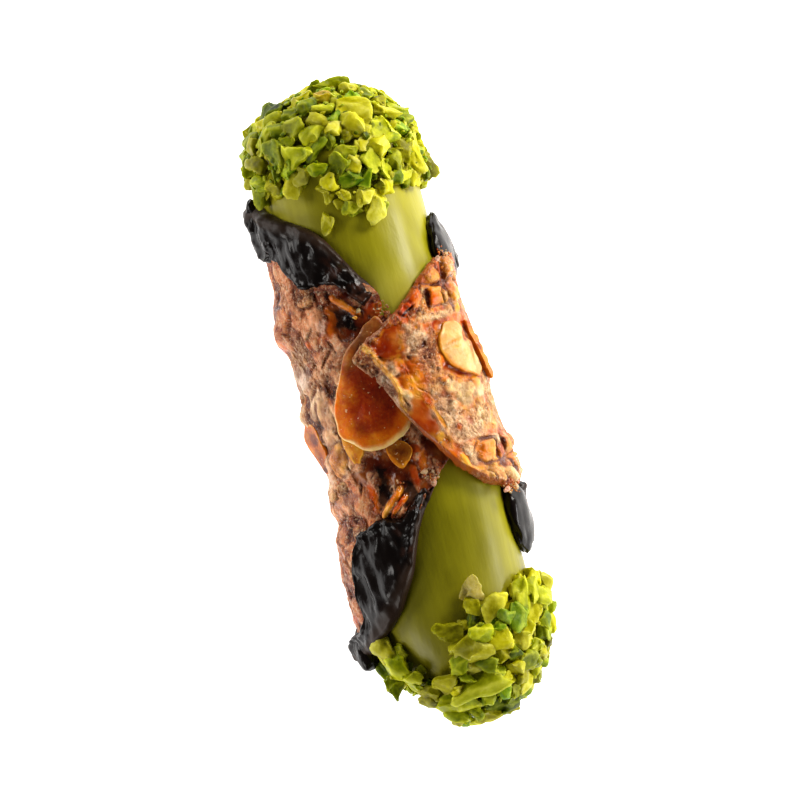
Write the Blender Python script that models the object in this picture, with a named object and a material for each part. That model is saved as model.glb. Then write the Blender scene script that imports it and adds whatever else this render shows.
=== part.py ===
"""A filled pastry roll lying on its side: a brittle almond sheet wrapped into a tube, with a cream filling that
bulges out of both slanted mouths, chocolate-dipped rims, almond slices and a heap of chopped nuts on each end.

The roll's axis runs along Y. X is across it, Z is up and the roll rests on a flat at Z = 0. Lengths are in
millimetres until loft() places them in the scene. A place on the roll is (radius, turn, along): turn is the
angle in degrees from straight up towards +X, and along is the distance along Y. The wrapped sheet covers more
than one turn, so its turn runs from the upper flap's corner, round the back, to the lower flap under it.
"""

import math

import bmesh
import bpy
from mathutils import Vector, noise

MM = 0.001
AXIS_HEIGHT = 18.0          # roll axis above the table
PASTRY_INSIDE = 16.0        # inside radius of the wrapped sheet
PASTRY_WALL = 2.2
CREAM_RADIUS = 15.6
GAP = 0.35                  # clearance between neighbouring solids

FLAP_LIFT = 2.9             # how far the upper flap stands out over the lower one
LIFT_FULL, LIFT_NONE = 30.0, 95.0     # turns between which the lift fades out
FLARE = 1.3                 # the -Y half opens out by this much
FLARE_FROM, FLARE_TO = -8.0, -36.0
SAG = 0.45                  # extra radius underneath, where the weight flattens the roll
SAG_SPREAD = 35.0

UPPER_CORNER, LOWER_CORNER = -18.7, 386.0     # turns where the two flaps end
PASTRY_COLUMNS = 86
LUMP_HEIGHT, LUMP_SIZE = 0.28, 7.0

# (turn, along) of the sheet's edge at each mouth.
HEAD_RIM = [
    (-18.7, 11.2), (-10, 13.4), (0, 15.7), (14, 18.4), (29, 23.5), (46, 26.2), (85, 27.0), (110, 30.0),
    (127, 36.0), (150, 42.0), (190, 46.0), (240, 47.0), (270, 46.0), (297, 43.2), (320, 40.0), (335, 37.2),
    (347, 32.0), (360, 25.5), (376, 18.5), (386, 15.0),
]
FOOT_RIM = [
    (-18.7, 9.4), (-8, 4.8), (5, -4.2), (16, -10.5), (28, -16.2), (46, -20.2), (65, -21.8), (90, -22.6),
    (110, -29.5), (127, -36.0), (150, -41.0), (190, -45.0), (240, -47.5), (270, -48.0), (297, -45.5),
    (311, -43.8), (322, -41.2), (340, -34.0), (354, -24.2), (366, -18.6), (379, -14.5), (386, -12.5),
]
# (turn, width) of the chocolate's skirt down the outside of the sheet.
HEAD_SKIRT = [
    (84, 1.0), (100, 3.5), (127, 7.0), (180, 9.0), (240, 9.5), (283, 10.0), (300, 9.5), (310, 12.5),
    (327, 13.0), (341, 10.0), (354, 8.5), (362, 4.0), (371, 1.2),
]
FOOT_SKIRT = [
    (84, 1.0), (104, 4.0), (127, 7.0), (180, 8.0), (240, 7.5), (286, 7.0), (294, 8.5), (303, 16.5),
    (320, 18.5), (334, 15.0), (347, 7.5), (356, 4.5), (371, 1.2),
]
CHOCOLATE_TURNS = (84.0, 371.0)
CHOCOLATE_COAT = 0.95
CHOCOLATE_RECESS = 0.45     # the dipped edge of the sheet is this much thinner
CHOCOLATE_FLOOR = 0.85      # room for the coat between the sheet and the table

# (turn, along, height, turn spread, along spread) of the sheet's broad bulges and hollows.
BULGES = [
    (90, -17, 1.6, 34, 9), (88, 2, 0.8, 25, 6), (90, 18, -0.5, 30, 6),
    (270, 21, 1.2, 28, 6), (270, 6, -0.3, 25, 5), (270, -12, -0.9, 28, 7), (270, -31, 0.7, 26, 7),
]
# (turn, along, height, turn spread, along spread) of the drips that hang at the mouths' outer corners.
DRIPS = [(272, 44, 1.3, 9, 2.6), (280, 38.5, 0.5, 8, 1.5), (268, -45.5, 1.9, 11, 3.4)]

CREAM_COLUMNS = 40
HEAD_TIP, HEAD_SHOULDER, HEAD_ROUNDNESS = 62.0, 44.5, 2.5
FOOT_TIP, FOOT_SHOULDER, FOOT_ROUNDNESS = -62.0, -40.0, 2.1

NUT_GAP, NUT_DEPTH = 0.5, 2.8
NUT_LUMP, NUT_SIZE = 1.5, 4.2
# (turn, along) of the nut heaps' edges.
HEAD_NUTS = [
    (0, 39.0), (16, 36.4), (27, 38.5), (42, 42.0), (60, 41.0), (100, 41.0), (127, 42.0), (150, 45.5),
    (190, 49.0), (240, 50.0), (270, 49.0), (300, 46.2), (325, 46.6), (345, 46.4), (360, 39.0),
]
FOOT_NUTS = [
    (0, -46.0), (15, -42.0), (32, -41.5), (60, -39.2), (100, -39.2), (127, -40.5), (150, -44.6),
    (190, -48.4), (240, -51.0), (270, -51.2), (300, -49.2), (318, -50.5), (333, -55.5), (347, -51.0), (360, -46.0),
]

SLICE_GAP, SLICE_WALL = 0.3, 1.1
SLICE_STEPS = 9
# (along, left turn, right turn) of each almond slice's outline; past a full turn it lies on the lower flap.
SLICE_SEAM = [
    (-8.0, 341, 347), (-7.0, 331, 356), (-5.0, 320.5, 362.5), (-2.0, 317.5, 358.5), (1.0, 318.5, 354.5),
    (5.0, 324, 349.5), (9.2, 331, 338.5), (12.6, 337, 339),
]
SLICE_BELOW = [(-12.0, 353, 360), (-10.5, 348, 369), (-9.0, 349, 369), (-7.6, 359, 367), (-6.4, 363.5, 365)]
SLICE_FLAP = [
    (2.6, 52, 56), (4.0, 41, 58.5), (6.0, 34.5, 57), (8.5, 30.5, 51), (11.0, 29.5, 43.5), (13.2, 32, 35),
]
SLICE_SIDE = [(-10.5, 267, 273), (-8.0, 259, 281), (-4.0, 255, 284), (0.0, 259, 281), (3.0, 267, 273)]


def eased(value, start, end):
    """0 at start and 1 at end, turning smoothly in between."""
    share = min(1.0, max(0.0, (value - start) / (end - start)))
    return share * share * (3 - 2 * share)


def curve_through(knots, at):
    """The value at a place on a smooth curve through (place, value) knots."""
    last = len(knots) - 1
    if at <= knots[0][0]:
        return knots[0][1]
    if at >= knots[last][0]:
        return knots[last][1]
    i = max(k for k in range(last) if knots[k][0] <= at)

    def slope(k):
        before, after = knots[max(k - 1, 0)], knots[min(k + 1, last)]
        return (after[1] - before[1]) / (after[0] - before[0])

    (x0, y0), (x1, y1) = knots[i], knots[i + 1]
    step = x1 - x0
    t = (at - x0) / step
    return (
        y0 * (1 + 2 * t) * (1 - t) ** 2
        + y1 * t * t * (3 - 2 * t)
        + step * slope(i) * t * (1 - t) ** 2
        + step * slope(i + 1) * t * t * (t - 1)
    )


def hill(turn, along, hills):
    """The summed height of some bell-shaped hills; turn differences wrap round the roll."""
    total = 0.0
    for middle, place, height, turn_spread, spread in hills:
        off = (turn - middle + 180) % 360 - 180
        total += height * math.exp(-((off / turn_spread) ** 2) - ((along - place) / spread) ** 2)
    return total


def lumps(radius, turn, along, size, seed):
    """Smooth random relief between about -1 and 1, with lumps of the given size."""
    angle = math.radians(turn)
    place = Vector((radius * math.sin(angle), along, radius * math.cos(angle)))
    return noise.noise(place / size + Vector((seed, seed, seed)))


def above_table(radius, turn, height=0.0):
    """The radius, cut back where that point of the roll would be lower than a height above the table."""
    down = -math.cos(math.radians(turn))
    return min(radius, (AXIS_HEIGHT - height) / down) if down > 0.3 else radius


def place(radius, turn, along):
    angle = math.radians(turn)
    return Vector((radius * math.sin(angle), along, AXIS_HEIGHT + radius * math.cos(angle)))


def flare(turn, along):
    return FLARE * eased(along, FLARE_FROM, FLARE_TO) * (0.65 + 0.35 * math.cos(math.radians(turn)))


def lift(turn):
    """How far the upper flap has lifted off; the lower flap, past a full turn, stays down."""
    return FLAP_LIFT * (1 - eased(turn, LIFT_FULL, LIFT_NONE))


def pastry_inside(turn, along):
    return PASTRY_INSIDE + lift(turn) + flare(turn, along)


def pastry_outside(turn, along):
    """The sheet's outer radius before the dipped rims are thinned."""
    radius = pastry_inside(turn, along) + PASTRY_WALL + hill(turn, along, BULGES)
    radius += SAG * math.exp(-(((turn - 180) / SAG_SPREAD) ** 2))
    return radius + LUMP_HEIGHT * lumps(radius, turn, along, LUMP_SIZE, 3.0)


def dipped(turn):
    """1 where the rims carry chocolate, 0 where they are bare."""
    start, end = CHOCOLATE_TURNS
    return eased(turn, start - 2, start + 8) * (1 - eased(turn, end - 8, end + 2))


def thinned(radius, turn):
    """The sheet's outer radius under the chocolate."""
    share = dipped(turn)
    return above_table(radius - CHOCOLATE_RECESS * share, turn, CHOCOLATE_FLOOR * share)


def cream_radius(turn, along):
    """The filling's radius; it swells into the space that the lifted flap leaves."""
    fade = (1 - eased(along, 28, 42)) * (1 - eased(along, -24, -38))
    swell = lift(turn) * eased(turn, 26, 38) * fade if turn < 180 else 0.0
    radius = CREAM_RADIUS + 0.8 * flare(turn, along) + swell
    if along > HEAD_SHOULDER:
        share, power = (along - HEAD_SHOULDER) / (HEAD_TIP - HEAD_SHOULDER), HEAD_ROUNDNESS
    elif along < FOOT_SHOULDER:
        share, power = (along - FOOT_SHOULDER) / (FOOT_TIP - FOOT_SHOULDER), FOOT_ROUNDNESS
    else:
        return radius
    return radius * max(0.0, 1 - share**power) ** (1 / power)


def material(name, colour, roughness):
    made = bpy.data.materials.new(name)
    made.use_nodes = True
    shader = made.node_tree.nodes["Principled BSDF"]
    shader.inputs["Base Color"].default_value = (*colour, 1.0)
    shader.inputs["Roughness"].default_value = roughness
    shader.inputs["Metallic"].default_value = 0.0
    return made


def loft(name, rings, look):
    """One closed solid through rings of points in millimetres, each ring a closed loop, with flat end caps."""
    mesh = bmesh.new()
    loops = [[mesh.verts.new(point * MM) for point in ring] for ring in rings]
    for one, two in zip(loops, loops[1:]):
        for i in range(len(one)):
            j = (i + 1) % len(one)
            mesh.faces.new((one[i], one[j], two[j], two[i]))
    mesh.faces.new(loops[0])
    mesh.faces.new(loops[-1])
    bmesh.ops.recalc_face_normals(mesh, faces=mesh.faces)
    data = bpy.data.meshes.new(name)
    mesh.to_mesh(data)
    mesh.free()
    data.shade_smooth()
    data.set_sharp_from_angle(angle=math.radians(50))
    data.materials.append(look)
    made = bpy.data.objects.new(name, data)
    bpy.context.scene.collection.objects.link(made)
    return made


def pastry_ring(turn):
    """The sheet's cross-section at one turn: out along its outer face and back along its inner face."""
    head, foot = curve_through(HEAD_RIM, turn), curve_through(FOOT_RIM, turn)
    length = head - foot
    head_skirt = min(curve_through(HEAD_SKIRT, turn), 0.3 * length)
    foot_skirt = min(curve_through(FOOT_SKIRT, turn), 0.3 * length)
    step = min(1.0, 0.05 * length)
    low, high = foot + foot_skirt, head - head_skirt
    outer = []
    for along in (foot, (foot + low) / 2, low + 0.2 * step):
        outer.append(place(thinned(pastry_outside(turn, along), turn), turn, along))
    for i in range(6):
        along = low + step + (high - low - 2 * step) * i / 5
        outer.append(place(above_table(pastry_outside(turn, along), turn), turn, along))
    for along in (high - 0.2 * step, (head + high) / 2, head):
        outer.append(place(thinned(pastry_outside(turn, along), turn), turn, along))
    inner = []
    for i in range(4):
        along = head - length * i / 3
        inner.append(place(pastry_inside(turn, along), turn, along))
    return outer + inner


def pastry_turns():
    step = (LOWER_CORNER - UPPER_CORNER) / PASTRY_COLUMNS
    return [UPPER_CORNER + step * i for i in range(PASTRY_COLUMNS + 1)]


def make_pastry(look):
    loft("pastry_tube", [pastry_ring(turn) for turn in pastry_turns()], look)


def make_cream(look):
    """The filling, as rings along the roll that close in on each tip."""
    stations = [HEAD_TIP - 0.03, HEAD_TIP - 0.5, HEAD_TIP - 1.8, HEAD_TIP - 4, HEAD_TIP - 8, HEAD_TIP - 13]
    stations += [44 - 8 * i for i in range(11)]
    stations += [FOOT_TIP + 17, FOOT_TIP + 12, FOOT_TIP + 8, FOOT_TIP + 4, FOOT_TIP + 1.6, FOOT_TIP + 0.4]
    rings = []
    for along in stations:
        turns = [360 * i / CREAM_COLUMNS for i in range(CREAM_COLUMNS)]
        rings.append([place(cream_radius(turn, along), turn, along) for turn in turns])
    loft("cream", rings, look)


def chocolate_ring(turn, rim, skirt, inward):
    """The coat's hooked cross-section: down the outside of the sheet, over its edge and back along the edge."""
    edge, width = curve_through(rim, turn), curve_through(skirt, turn)

    def at(depth, off):
        along = edge + inward * depth
        return above_table(thinned(pastry_outside(turn, along), turn) + off, turn), along

    coat = CHOCOLATE_COAT * (0.35 + 0.65 * dipped(turn))
    bump = 1 + 0.25 * lumps(PASTRY_INSIDE, turn, edge, 4.0, 9.0)
    profile = [at(width, GAP), at(width - 0.1, GAP + 0.5 * coat)]
    for share in (0.7, 0.3):
        radius, along = at(width * share, GAP + coat * bump)
        profile.append((above_table(radius + hill(turn, along, DRIPS), turn), along))
    radius, along = at(0, GAP + 0.8 * coat)
    profile.append((above_table(radius + 0.8 * hill(turn, along, DRIPS), turn), along - inward * 0.5))
    inside = pastry_inside(turn, edge) + 0.1
    outside = at(0, GAP)[0]
    profile.append(((inside + outside) / 2, edge - inward * (GAP + coat)))
    profile.append((inside, edge - inward * (GAP + 0.7 * coat)))
    profile.append((inside, edge - inward * GAP))
    profile.append((outside, edge - inward * GAP))
    return [place(radius, turn, along) for radius, along in profile]


def make_chocolate(name, rim, skirt, inward, look):
    start, end = CHOCOLATE_TURNS
    turns = [turn for turn in pastry_turns() if start + 2 <= turn <= end - 2]
    loft(name, [chocolate_ring(turn, rim, skirt, inward) for turn in turns], look)


def heap_point(edge, tip, turn, share, depth):
    """A place over the filling: from the heap's edge, at share 0, to the filling's tip, at share 1."""

    def on_cream(part):
        along = edge + (tip - edge) * math.sin(part * math.pi / 2)
        return along, cream_radius(turn, along)

    (a0, r0), (a1, r1) = on_cream(share - 0.01), on_cream(share + 0.01)
    along, radius = on_cream(share)
    outward = math.copysign(depth / math.hypot(a1 - a0, r1 - r0), tip)
    return radius + outward * (a1 - a0), along - outward * (r1 - r0)


def make_nuts(name, edge_knots, tip, look):
    """A heap of chopped nuts as a lumpy cap over one end of the filling."""
    turns = [360 * i / CREAM_COLUMNS for i in range(CREAM_COLUMNS)]

    def inner(turn, share):
        radius, along = heap_point(curve_through(edge_knots, turn), tip, turn, share, NUT_GAP)
        return place(radius, turn, along)

    def outer(turn, share):
        edge = curve_through(edge_knots, turn)
        radius, along = heap_point(edge, tip, turn, share, 0)
        bump = NUT_LUMP * lumps(radius, turn, along, NUT_SIZE, 17.0)
        depth = NUT_GAP + 0.5 + (NUT_DEPTH - 0.5 + bump) * eased(share, -0.04, 0.12)
        radius, along = heap_point(edge, tip, turn, share, depth)
        return place(above_table(radius, turn, 0.3), turn, along)

    inner_shares = (0.98, 0.9, 0.78, 0.6, 0.4, 0.2, 0)
    outer_shares = (0, 0.1, 0.23, 0.36, 0.5, 0.64, 0.78, 0.9, 0.97)
    rings = [[inner(turn, share) for turn in turns] for share in inner_shares]
    rings += [[outer(turn, share) for turn in turns] for share in outer_shares]
    loft(name, rings, look)


def make_slice(name, outline, look):
    """An almond slice lying on the sheet: a thin plate with (along, left turn, right turn) edges."""
    left = [(row[0], row[1]) for row in outline]
    right = [(row[0], row[2]) for row in outline]
    rings = []
    for i in range(SLICE_STEPS + 1):
        along = outline[0][0] + (outline[-1][0] - outline[0][0]) * i / SLICE_STEPS
        start, end = curve_through(left, along), curve_through(right, along)
        turns = [start + (end - start) * k / 6 for k in range(7)]
        top = [place(pastry_outside(turn, along) + SLICE_GAP + SLICE_WALL, turn, along) for turn in turns]
        under = [place(pastry_outside(turn, along) + SLICE_GAP, turn, along) for turn in turns]
        rings.append(top + under[::-1])
    loft(name, rings, look)


def main():
    for old in list(bpy.data.objects):
        bpy.data.objects.remove(old)
    crust = material("pastry", (0.42, 0.20, 0.10), 0.6)
    cream = material("cream", (0.55, 0.55, 0.18), 0.45)
    chocolate = material("chocolate", (0.03, 0.018, 0.014), 0.2)
    nuts = material("nuts", (0.50, 0.55, 0.08), 0.6)
    almond = material("almond", (0.55, 0.25, 0.06), 0.3)

    make_pastry(crust)
    make_cream(cream)
    make_chocolate("chocolate_rim_head", HEAD_RIM, HEAD_SKIRT, -1, chocolate)
    make_chocolate("chocolate_rim_foot", FOOT_RIM, FOOT_SKIRT, 1, chocolate)
    make_nuts("chopped_nuts_head", HEAD_NUTS, HEAD_TIP, nuts)
    make_nuts("chopped_nuts_foot", FOOT_NUTS, FOOT_TIP, nuts)
    make_slice("almond_slice_seam", SLICE_SEAM, almond)
    make_slice("almond_slice_below", SLICE_BELOW, almond)
    make_slice("almond_slice_flap", SLICE_FLAP, almond)
    make_slice("almond_slice_side", SLICE_SIDE, almond)


main()
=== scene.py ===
"""Looks for the filled cannoli: wrapped almond pastry, pistachio cream, chocolate rims, almond slices and nuts.

Lengths are in millimetres until make_piece() writes a mesh. A place on the roll is (turn, along) and a radius:
turn is degrees from straight up towards +X, and along is the distance along Y. The sheet's own turn runs on past
360 where the lower flap lies under the upper one.
"""

import itertools
import math

import bpy
import numpy as np
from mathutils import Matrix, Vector


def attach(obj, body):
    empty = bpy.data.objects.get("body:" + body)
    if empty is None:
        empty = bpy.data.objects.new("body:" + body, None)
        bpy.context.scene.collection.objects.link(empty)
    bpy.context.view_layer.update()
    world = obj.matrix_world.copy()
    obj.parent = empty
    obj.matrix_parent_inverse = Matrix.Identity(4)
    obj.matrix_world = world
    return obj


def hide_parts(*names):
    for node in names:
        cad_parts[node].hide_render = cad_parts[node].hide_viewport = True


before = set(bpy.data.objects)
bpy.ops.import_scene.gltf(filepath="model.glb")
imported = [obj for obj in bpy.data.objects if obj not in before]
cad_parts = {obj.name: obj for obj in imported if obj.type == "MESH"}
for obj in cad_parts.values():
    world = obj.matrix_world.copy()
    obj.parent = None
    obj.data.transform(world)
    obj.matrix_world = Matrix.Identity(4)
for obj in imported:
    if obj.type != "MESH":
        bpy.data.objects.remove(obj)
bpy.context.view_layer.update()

MM = 0.001
AXIS_HEIGHT = 18.0
INSIDE, WALL = 16.0, 2.2
CREAM_RADIUS = 15.6
FLAP_LIFT, FOOT_FLARE, SAG = 2.9, 1.3, 0.45
SHEET_START, SHEET_END = -18.7, 386.0       # where the sheet begins and ends round the roll
RIM_START, RIM_END = 84.0, 372.0            # and the chocolate on its rims
PATTERN_RADIUS = 19.0                       # the radius at which patterns are laid on the unrolled sheet
HEAP_DEPTH = 2.6                            # from the cream to the middle of the uppermost nuts
CLEARANCE = 0.05                            # between loose pieces and the table
LENS, SENSOR = 300.0, 36.0
VIEW_WIDTH, VIEW_TURN = 0.16, -15.0         # metres across at the axis, and degrees

# Where the crust ends at the head and the foot: (turn, along).
HEAD_RIM = [
    (-18.7, 11.2), (-10, 13.4), (0, 15.7), (14, 18.4), (29, 23.5), (46, 26.2), (85, 27), (110, 30), (127, 36),
    (150, 42), (190, 46), (240, 47), (270, 46), (297, 43.2), (320, 40), (335, 37.2), (347, 32), (360, 25.5),
    (376, 18.5), (386, 15),
]
FOOT_RIM = [
    (-18.7, 9.4), (-8, 4.8), (5, -4.2), (16, -10.5), (28, -16.2), (46, -20.2), (65, -21.8), (90, -22.6), (110, -29.5),
    (127, -36), (150, -41), (190, -45), (240, -47.5), (270, -48), (297, -45.5), (311, -43.8), (322, -41.2),
    (340, -34), (354, -24.2), (366, -18.6), (379, -14.5), (386, -12.5),
]
# How far the chocolate reaches inland from each rim: (turn, length).
HEAD_SKIRT = [
    (84, 1), (100, 3.5), (127, 7), (180, 9), (240, 9.5), (283, 10), (300, 9.5), (310, 12.5), (327, 13), (341, 10),
    (354, 8.5), (362, 4), (371, 1.2),
]
FOOT_SKIRT = [
    (84, 1), (104, 4), (127, 7), (180, 8), (240, 6.5), (282, 4.5), (296, 6), (303, 16.5), (320, 18.5), (334, 15),
    (347, 7.5), (356, 4.5), (371, 1.2),
]
# Where the nuts begin on the cream: (turn, along).
HEAD_NUTS = [
    (0, 39), (16, 36.4), (27, 38.5), (42, 42), (60, 41), (100, 41), (127, 42), (150, 45.5), (190, 49), (240, 50),
    (270, 49), (300, 46.2), (325, 46.6), (345, 46.4), (360, 39),
]
FOOT_NUTS = [
    (0, -46), (15, -42), (32, -41.5), (60, -39.2), (100, -39.2), (127, -40.5), (150, -44.6), (190, -48.4), (240, -51),
    (270, -51.2), (300, -49.2), (318, -50.5), (333, -55.5), (347, -51), (360, -46),
]
HEAD_TIP, HEAD_SHOULDER, HEAD_ROUNDNESS = 62.0, 44.5, 2.5
FOOT_TIP, FOOT_SHOULDER, FOOT_ROUNDNESS = -62.0, -40.0, 2.1
# Bulges of the sheet, and drips on the chocolate: (turn, along, height, spread in turn, spread along).
BULGES = [
    (90, -17, 1.6, 34, 9), (88, 2, 0.8, 25, 6), (90, 18, -0.5, 30, 6), (270, 21, 1.2, 28, 6), (270, 6, -0.3, 25, 5),
    (270, -12, -0.9, 28, 7), (270, -31, 0.7, 26, 7), (78, -12.6, 0.6, 18, 2), (80, -15.5, -0.5, 18, 0.8),
    (82, -1.6, -0.5, 18, 1.2), (76, 24, 0.4, 18, 2.6), (272, -15.2, 0.7, 24, 2.2), (272, -20.4, -0.9, 24, 2.2),
    (272, -11, -0.4, 24, 1.6), (276, 18.6, 0.5, 22, 2.6), (272, 28, -0.4, 24, 2.6), (285, 13, -0.4, 20, 3),
    (275, 2.4, 1.2, 16, 2),
]
DRIPS = [
    (272, 44, 1.3, 9, 2.6), (280, 38.5, 0.5, 8, 1.5), (268, -45.5, 1.9, 11, 3.4),
]


# ---------------------------------------------------------------- numbers

TWIST = np.array([[0.36, 0.48, -0.8], [-0.8, 0.6, 0.0], [0.48, 0.64, 0.6]])


def smooth(start, end, value):
    """From 0 at start to 1 at end, easing in and out."""
    share = np.clip((value - start) / (end - start), 0, 1)
    return share * share * (3 - 2 * share)


def bell(value, middle, spread):
    """1 at the middle, fading to both sides."""
    return np.exp(-(((value - middle) / spread) ** 2))


def mix(one, two, share):
    """Colours between one and two."""
    share = np.asarray(share)[..., None]
    return np.asarray(one) * (1 - share) + np.asarray(two) * share


def spline(knots, at):
    """The smooth curve through (place, value) knots that the CAD part uses."""
    x, y = np.array(knots, float).T
    slope = np.empty_like(y)
    slope[1:-1] = (y[2:] - y[:-2]) / (x[2:] - x[:-2])
    slope[0], slope[-1] = (y[1] - y[0]) / (x[1] - x[0]), (y[-1] - y[-2]) / (x[-1] - x[-2])
    at = np.clip(at, x[0], x[-1])
    i = np.clip(np.searchsorted(x, at, side="right") - 1, 0, len(x) - 2)
    step = x[i + 1] - x[i]
    t = (at - x[i]) / step
    return (
        y[i] * (1 + 2 * t) * (1 - t) ** 2
        + y[i + 1] * t * t * (3 - 2 * t)
        + step * slope[i] * t * (1 - t) ** 2
        + step * slope[i + 1] * t * t * (t - 1)
    )


def scatter(x, y, z, seed):
    """Random numbers from 0 to 1 at whole-number places."""
    h = (x * 374761393 + y * 668265263 + z * 1274126177 + seed * 974634777) & 0xFFFFFFFF
    h = ((h ^ (h >> 13)) * 1103515245) & 0xFFFFFFFF
    h = ((h ^ (h >> 16)) * 69069) & 0xFFFFFFFF
    return ((h ^ (h >> 15)) & 0xFFFFFF) / 0xFFFFFF


def wave_noise(points, size, seed):
    """Smooth random values from -1 to 1 whose features have the given size."""
    q = points / size + 500.0
    cell = np.floor(q).astype(np.int64)
    f = q - cell
    f = f * f * f * (f * (f * 6 - 15) + 10)
    total = 0.0
    for dx, dy, dz in itertools.product((0, 1), repeat=3):
        weight = np.abs(1 - dx - f[:, 0]) * np.abs(1 - dy - f[:, 1]) * np.abs(1 - dz - f[:, 2])
        total = total + weight * scatter(cell[:, 0] + dx, cell[:, 1] + dy, cell[:, 2] + dz, seed)
    return total * 2 - 1


def rough_noise(points, size, octaves, seed):
    """Wave noise with finer waves added, each half as strong."""
    total, share, whole = 0.0, 1.0, 0.0
    for octave in range(octaves):
        total = total + share * wave_noise(points, size, seed + 17 * octave)
        whole += share
        points = points @ TWIST.T
        size, share = size / 2.03, share * 0.5
    return total / whole * 1.6


def cell_noise(points, size, seed):
    """Distances to the nearest and second nearest of some scattered seeds, in sizes, and the nearest's number."""
    q = points / size + 500.0
    cell = np.floor(q).astype(np.int64)
    first, second, number = np.full(len(q), 9.0), np.full(len(q), 9.0), np.zeros(len(q))
    for dx, dy, dz in itertools.product((-1, 0, 1), repeat=3):
        x, y, z = cell[:, 0] + dx, cell[:, 1] + dy, cell[:, 2] + dz
        off = [c + 0.1 + 0.8 * scatter(x, y, z, seed + k) - q[:, k] for k, c in enumerate((x, y, z))]
        distance = np.sqrt(off[0] ** 2 + off[1] ** 2 + off[2] ** 2)
        closer = distance < first
        second = np.where(closer, first, np.minimum(second, distance))
        number = np.where(closer, scatter(x, y, z, seed + 7), number)
        first = np.minimum(first, distance)
    return first, second, number


def hills(turn, along, shapes):
    """The sum of rounded hills: (turn, along, height, spread in turn, spread along)."""
    total = 0.0
    for middle, place, height, turn_spread, spread in shapes:
        off = (turn - middle + 180) % 360 - 180
        total = total + height * np.exp(-((off / turn_spread) ** 2) - ((along - place) / spread) ** 2)
    return total


def ramp(colours, at):
    """A colour between three, for values from 0 to 1."""
    low, middle, high = (np.array(c) for c in colours)
    at = np.clip(at, 0, 1)
    return np.where(
        at[:, None] < 0.5, mix(low, middle, np.minimum(at * 2, 1)), mix(middle, high, np.maximum(at * 2 - 1, 0))
    )


# ---------------------------------------------------------------- the roll's form


def unrolled(turn, along, level=0.0):
    """Places on the sheet laid flat, for patterns that follow it round the roll."""
    return np.stack([np.radians(turn) * PATTERN_RADIUS, along + 0.0 * turn, level + 0.0 * turn], -1)


def on_roll(radius, turn, along):
    """The point at a radius from the roll's axis."""
    angle = np.radians(turn)
    return np.stack([radius * np.sin(angle), along + 0 * angle, AXIS_HEIGHT + radius * np.cos(angle)], -1)


def above_table(radius, turn, height=0.0):
    """The radius, cut short where it would reach below a height over the table."""
    down = -np.cos(np.radians(turn))
    return np.where(down > 0.3, np.minimum(radius, (AXIS_HEIGHT - height) / np.maximum(down, 0.3)), radius)


def lift(turn):
    """How far the upper flap stands up from the round."""
    return FLAP_LIFT * (1 - smooth(30, 95, turn))


def flare(turn, along):
    """How far the roll widens towards the foot."""
    return FOOT_FLARE * smooth(0, 1, (-8.0 - along) / 28.0) * (0.65 + 0.35 * np.cos(np.radians(turn)))


def pastry_inside(turn, along):
    """The radius of the sheet's inner face."""
    return INSIDE + lift(turn) + flare(turn, along)


def pastry_outside(turn, along):
    """The sheet's outer face before its relief."""
    return pastry_inside(turn, along) + WALL + hills(turn, along, BULGES) + SAG * bell(turn, 180, 35.0)


def cream_radius(turn, along):
    """The filling's surface, which swells in both mouths and closes at both tips."""
    turn = np.asarray(turn, float) % 360
    fade = (1 - smooth(20, 50, along)) * (1 - smooth(0, 1, (-16.0 - along) / 30.0))
    swell = np.where(turn < 180, 0.8 * lift(turn) * smooth(0, 55, turn) * fade, 0.0)
    across = (turn - 18 + 180) % 360 - 180
    head_mouth = smooth(11, 18, along) * (1 - smooth(21, 38, along))
    foot_mouth = smooth(-8, -15, along) * (1 - smooth(-18, -40, along))
    swell = swell + bell(across, 0, 25.0) * (2.5 * head_mouth + 1.3 * foot_mouth)
    radius = CREAM_RADIUS + 0.8 * flare(turn, along) + swell
    head = np.clip((along - HEAD_SHOULDER) / (HEAD_TIP - HEAD_SHOULDER), 0, 1)
    foot = np.clip((along - FOOT_SHOULDER) / (FOOT_TIP - FOOT_SHOULDER), 0, 1)
    close = np.maximum(0, 1 - head**HEAD_ROUNDNESS) ** (1 / HEAD_ROUNDNESS)
    return radius * close * np.maximum(0, 1 - foot**FOOT_ROUNDNESS) ** (1 / FOOT_ROUNDNESS)


# ---------------------------------------------------------------- crust

# Colour and gloss of what the crust is made of: below 0.5 it is rough crumb, and towards 1 it is smooth glaze.
KINDS = {
    "dark": ((0.33, 0.034, 0.001), 0.95),
    "glaze": ((0.64, 0.125, 0.002), 0.8),
    "amber": ((0.86, 0.33, 0.015), 0.8),
    "almond": ((0.82, 0.48, 0.15), 0.7),
    "flake": ((0.80, 0.50, 0.18), 0.72),
    "white": ((0.88, 0.52, 0.24), 0.5),
    "pink": ((0.76, 0.32, 0.10), 0.5),
    "rose": ((0.52, 0.165, 0.045), 0.45),
    "dough": ((0.74, 0.29, 0.11), 0.62),
    "butter": ((0.84, 0.42, 0.19), 0.74),
    "pale": ((0.80, 0.38, 0.16), 0.35),
    "ash": ((0.78, 0.56, 0.42), 0.25),
    "straw": ((0.78, 0.46, 0.17), 0.4),
    "tan": ((0.68, 0.34, 0.10), 0.45),
    "peach": ((0.80, 0.36, 0.06), 0.7),
    "brown": ((0.12, 0.018, 0.001), 0.85),
    "burnt": ((0.012, 0.003, 0.001), 1.0),
    "crack": ((0.11, 0.014, 0.001), 0.8),
}
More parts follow.
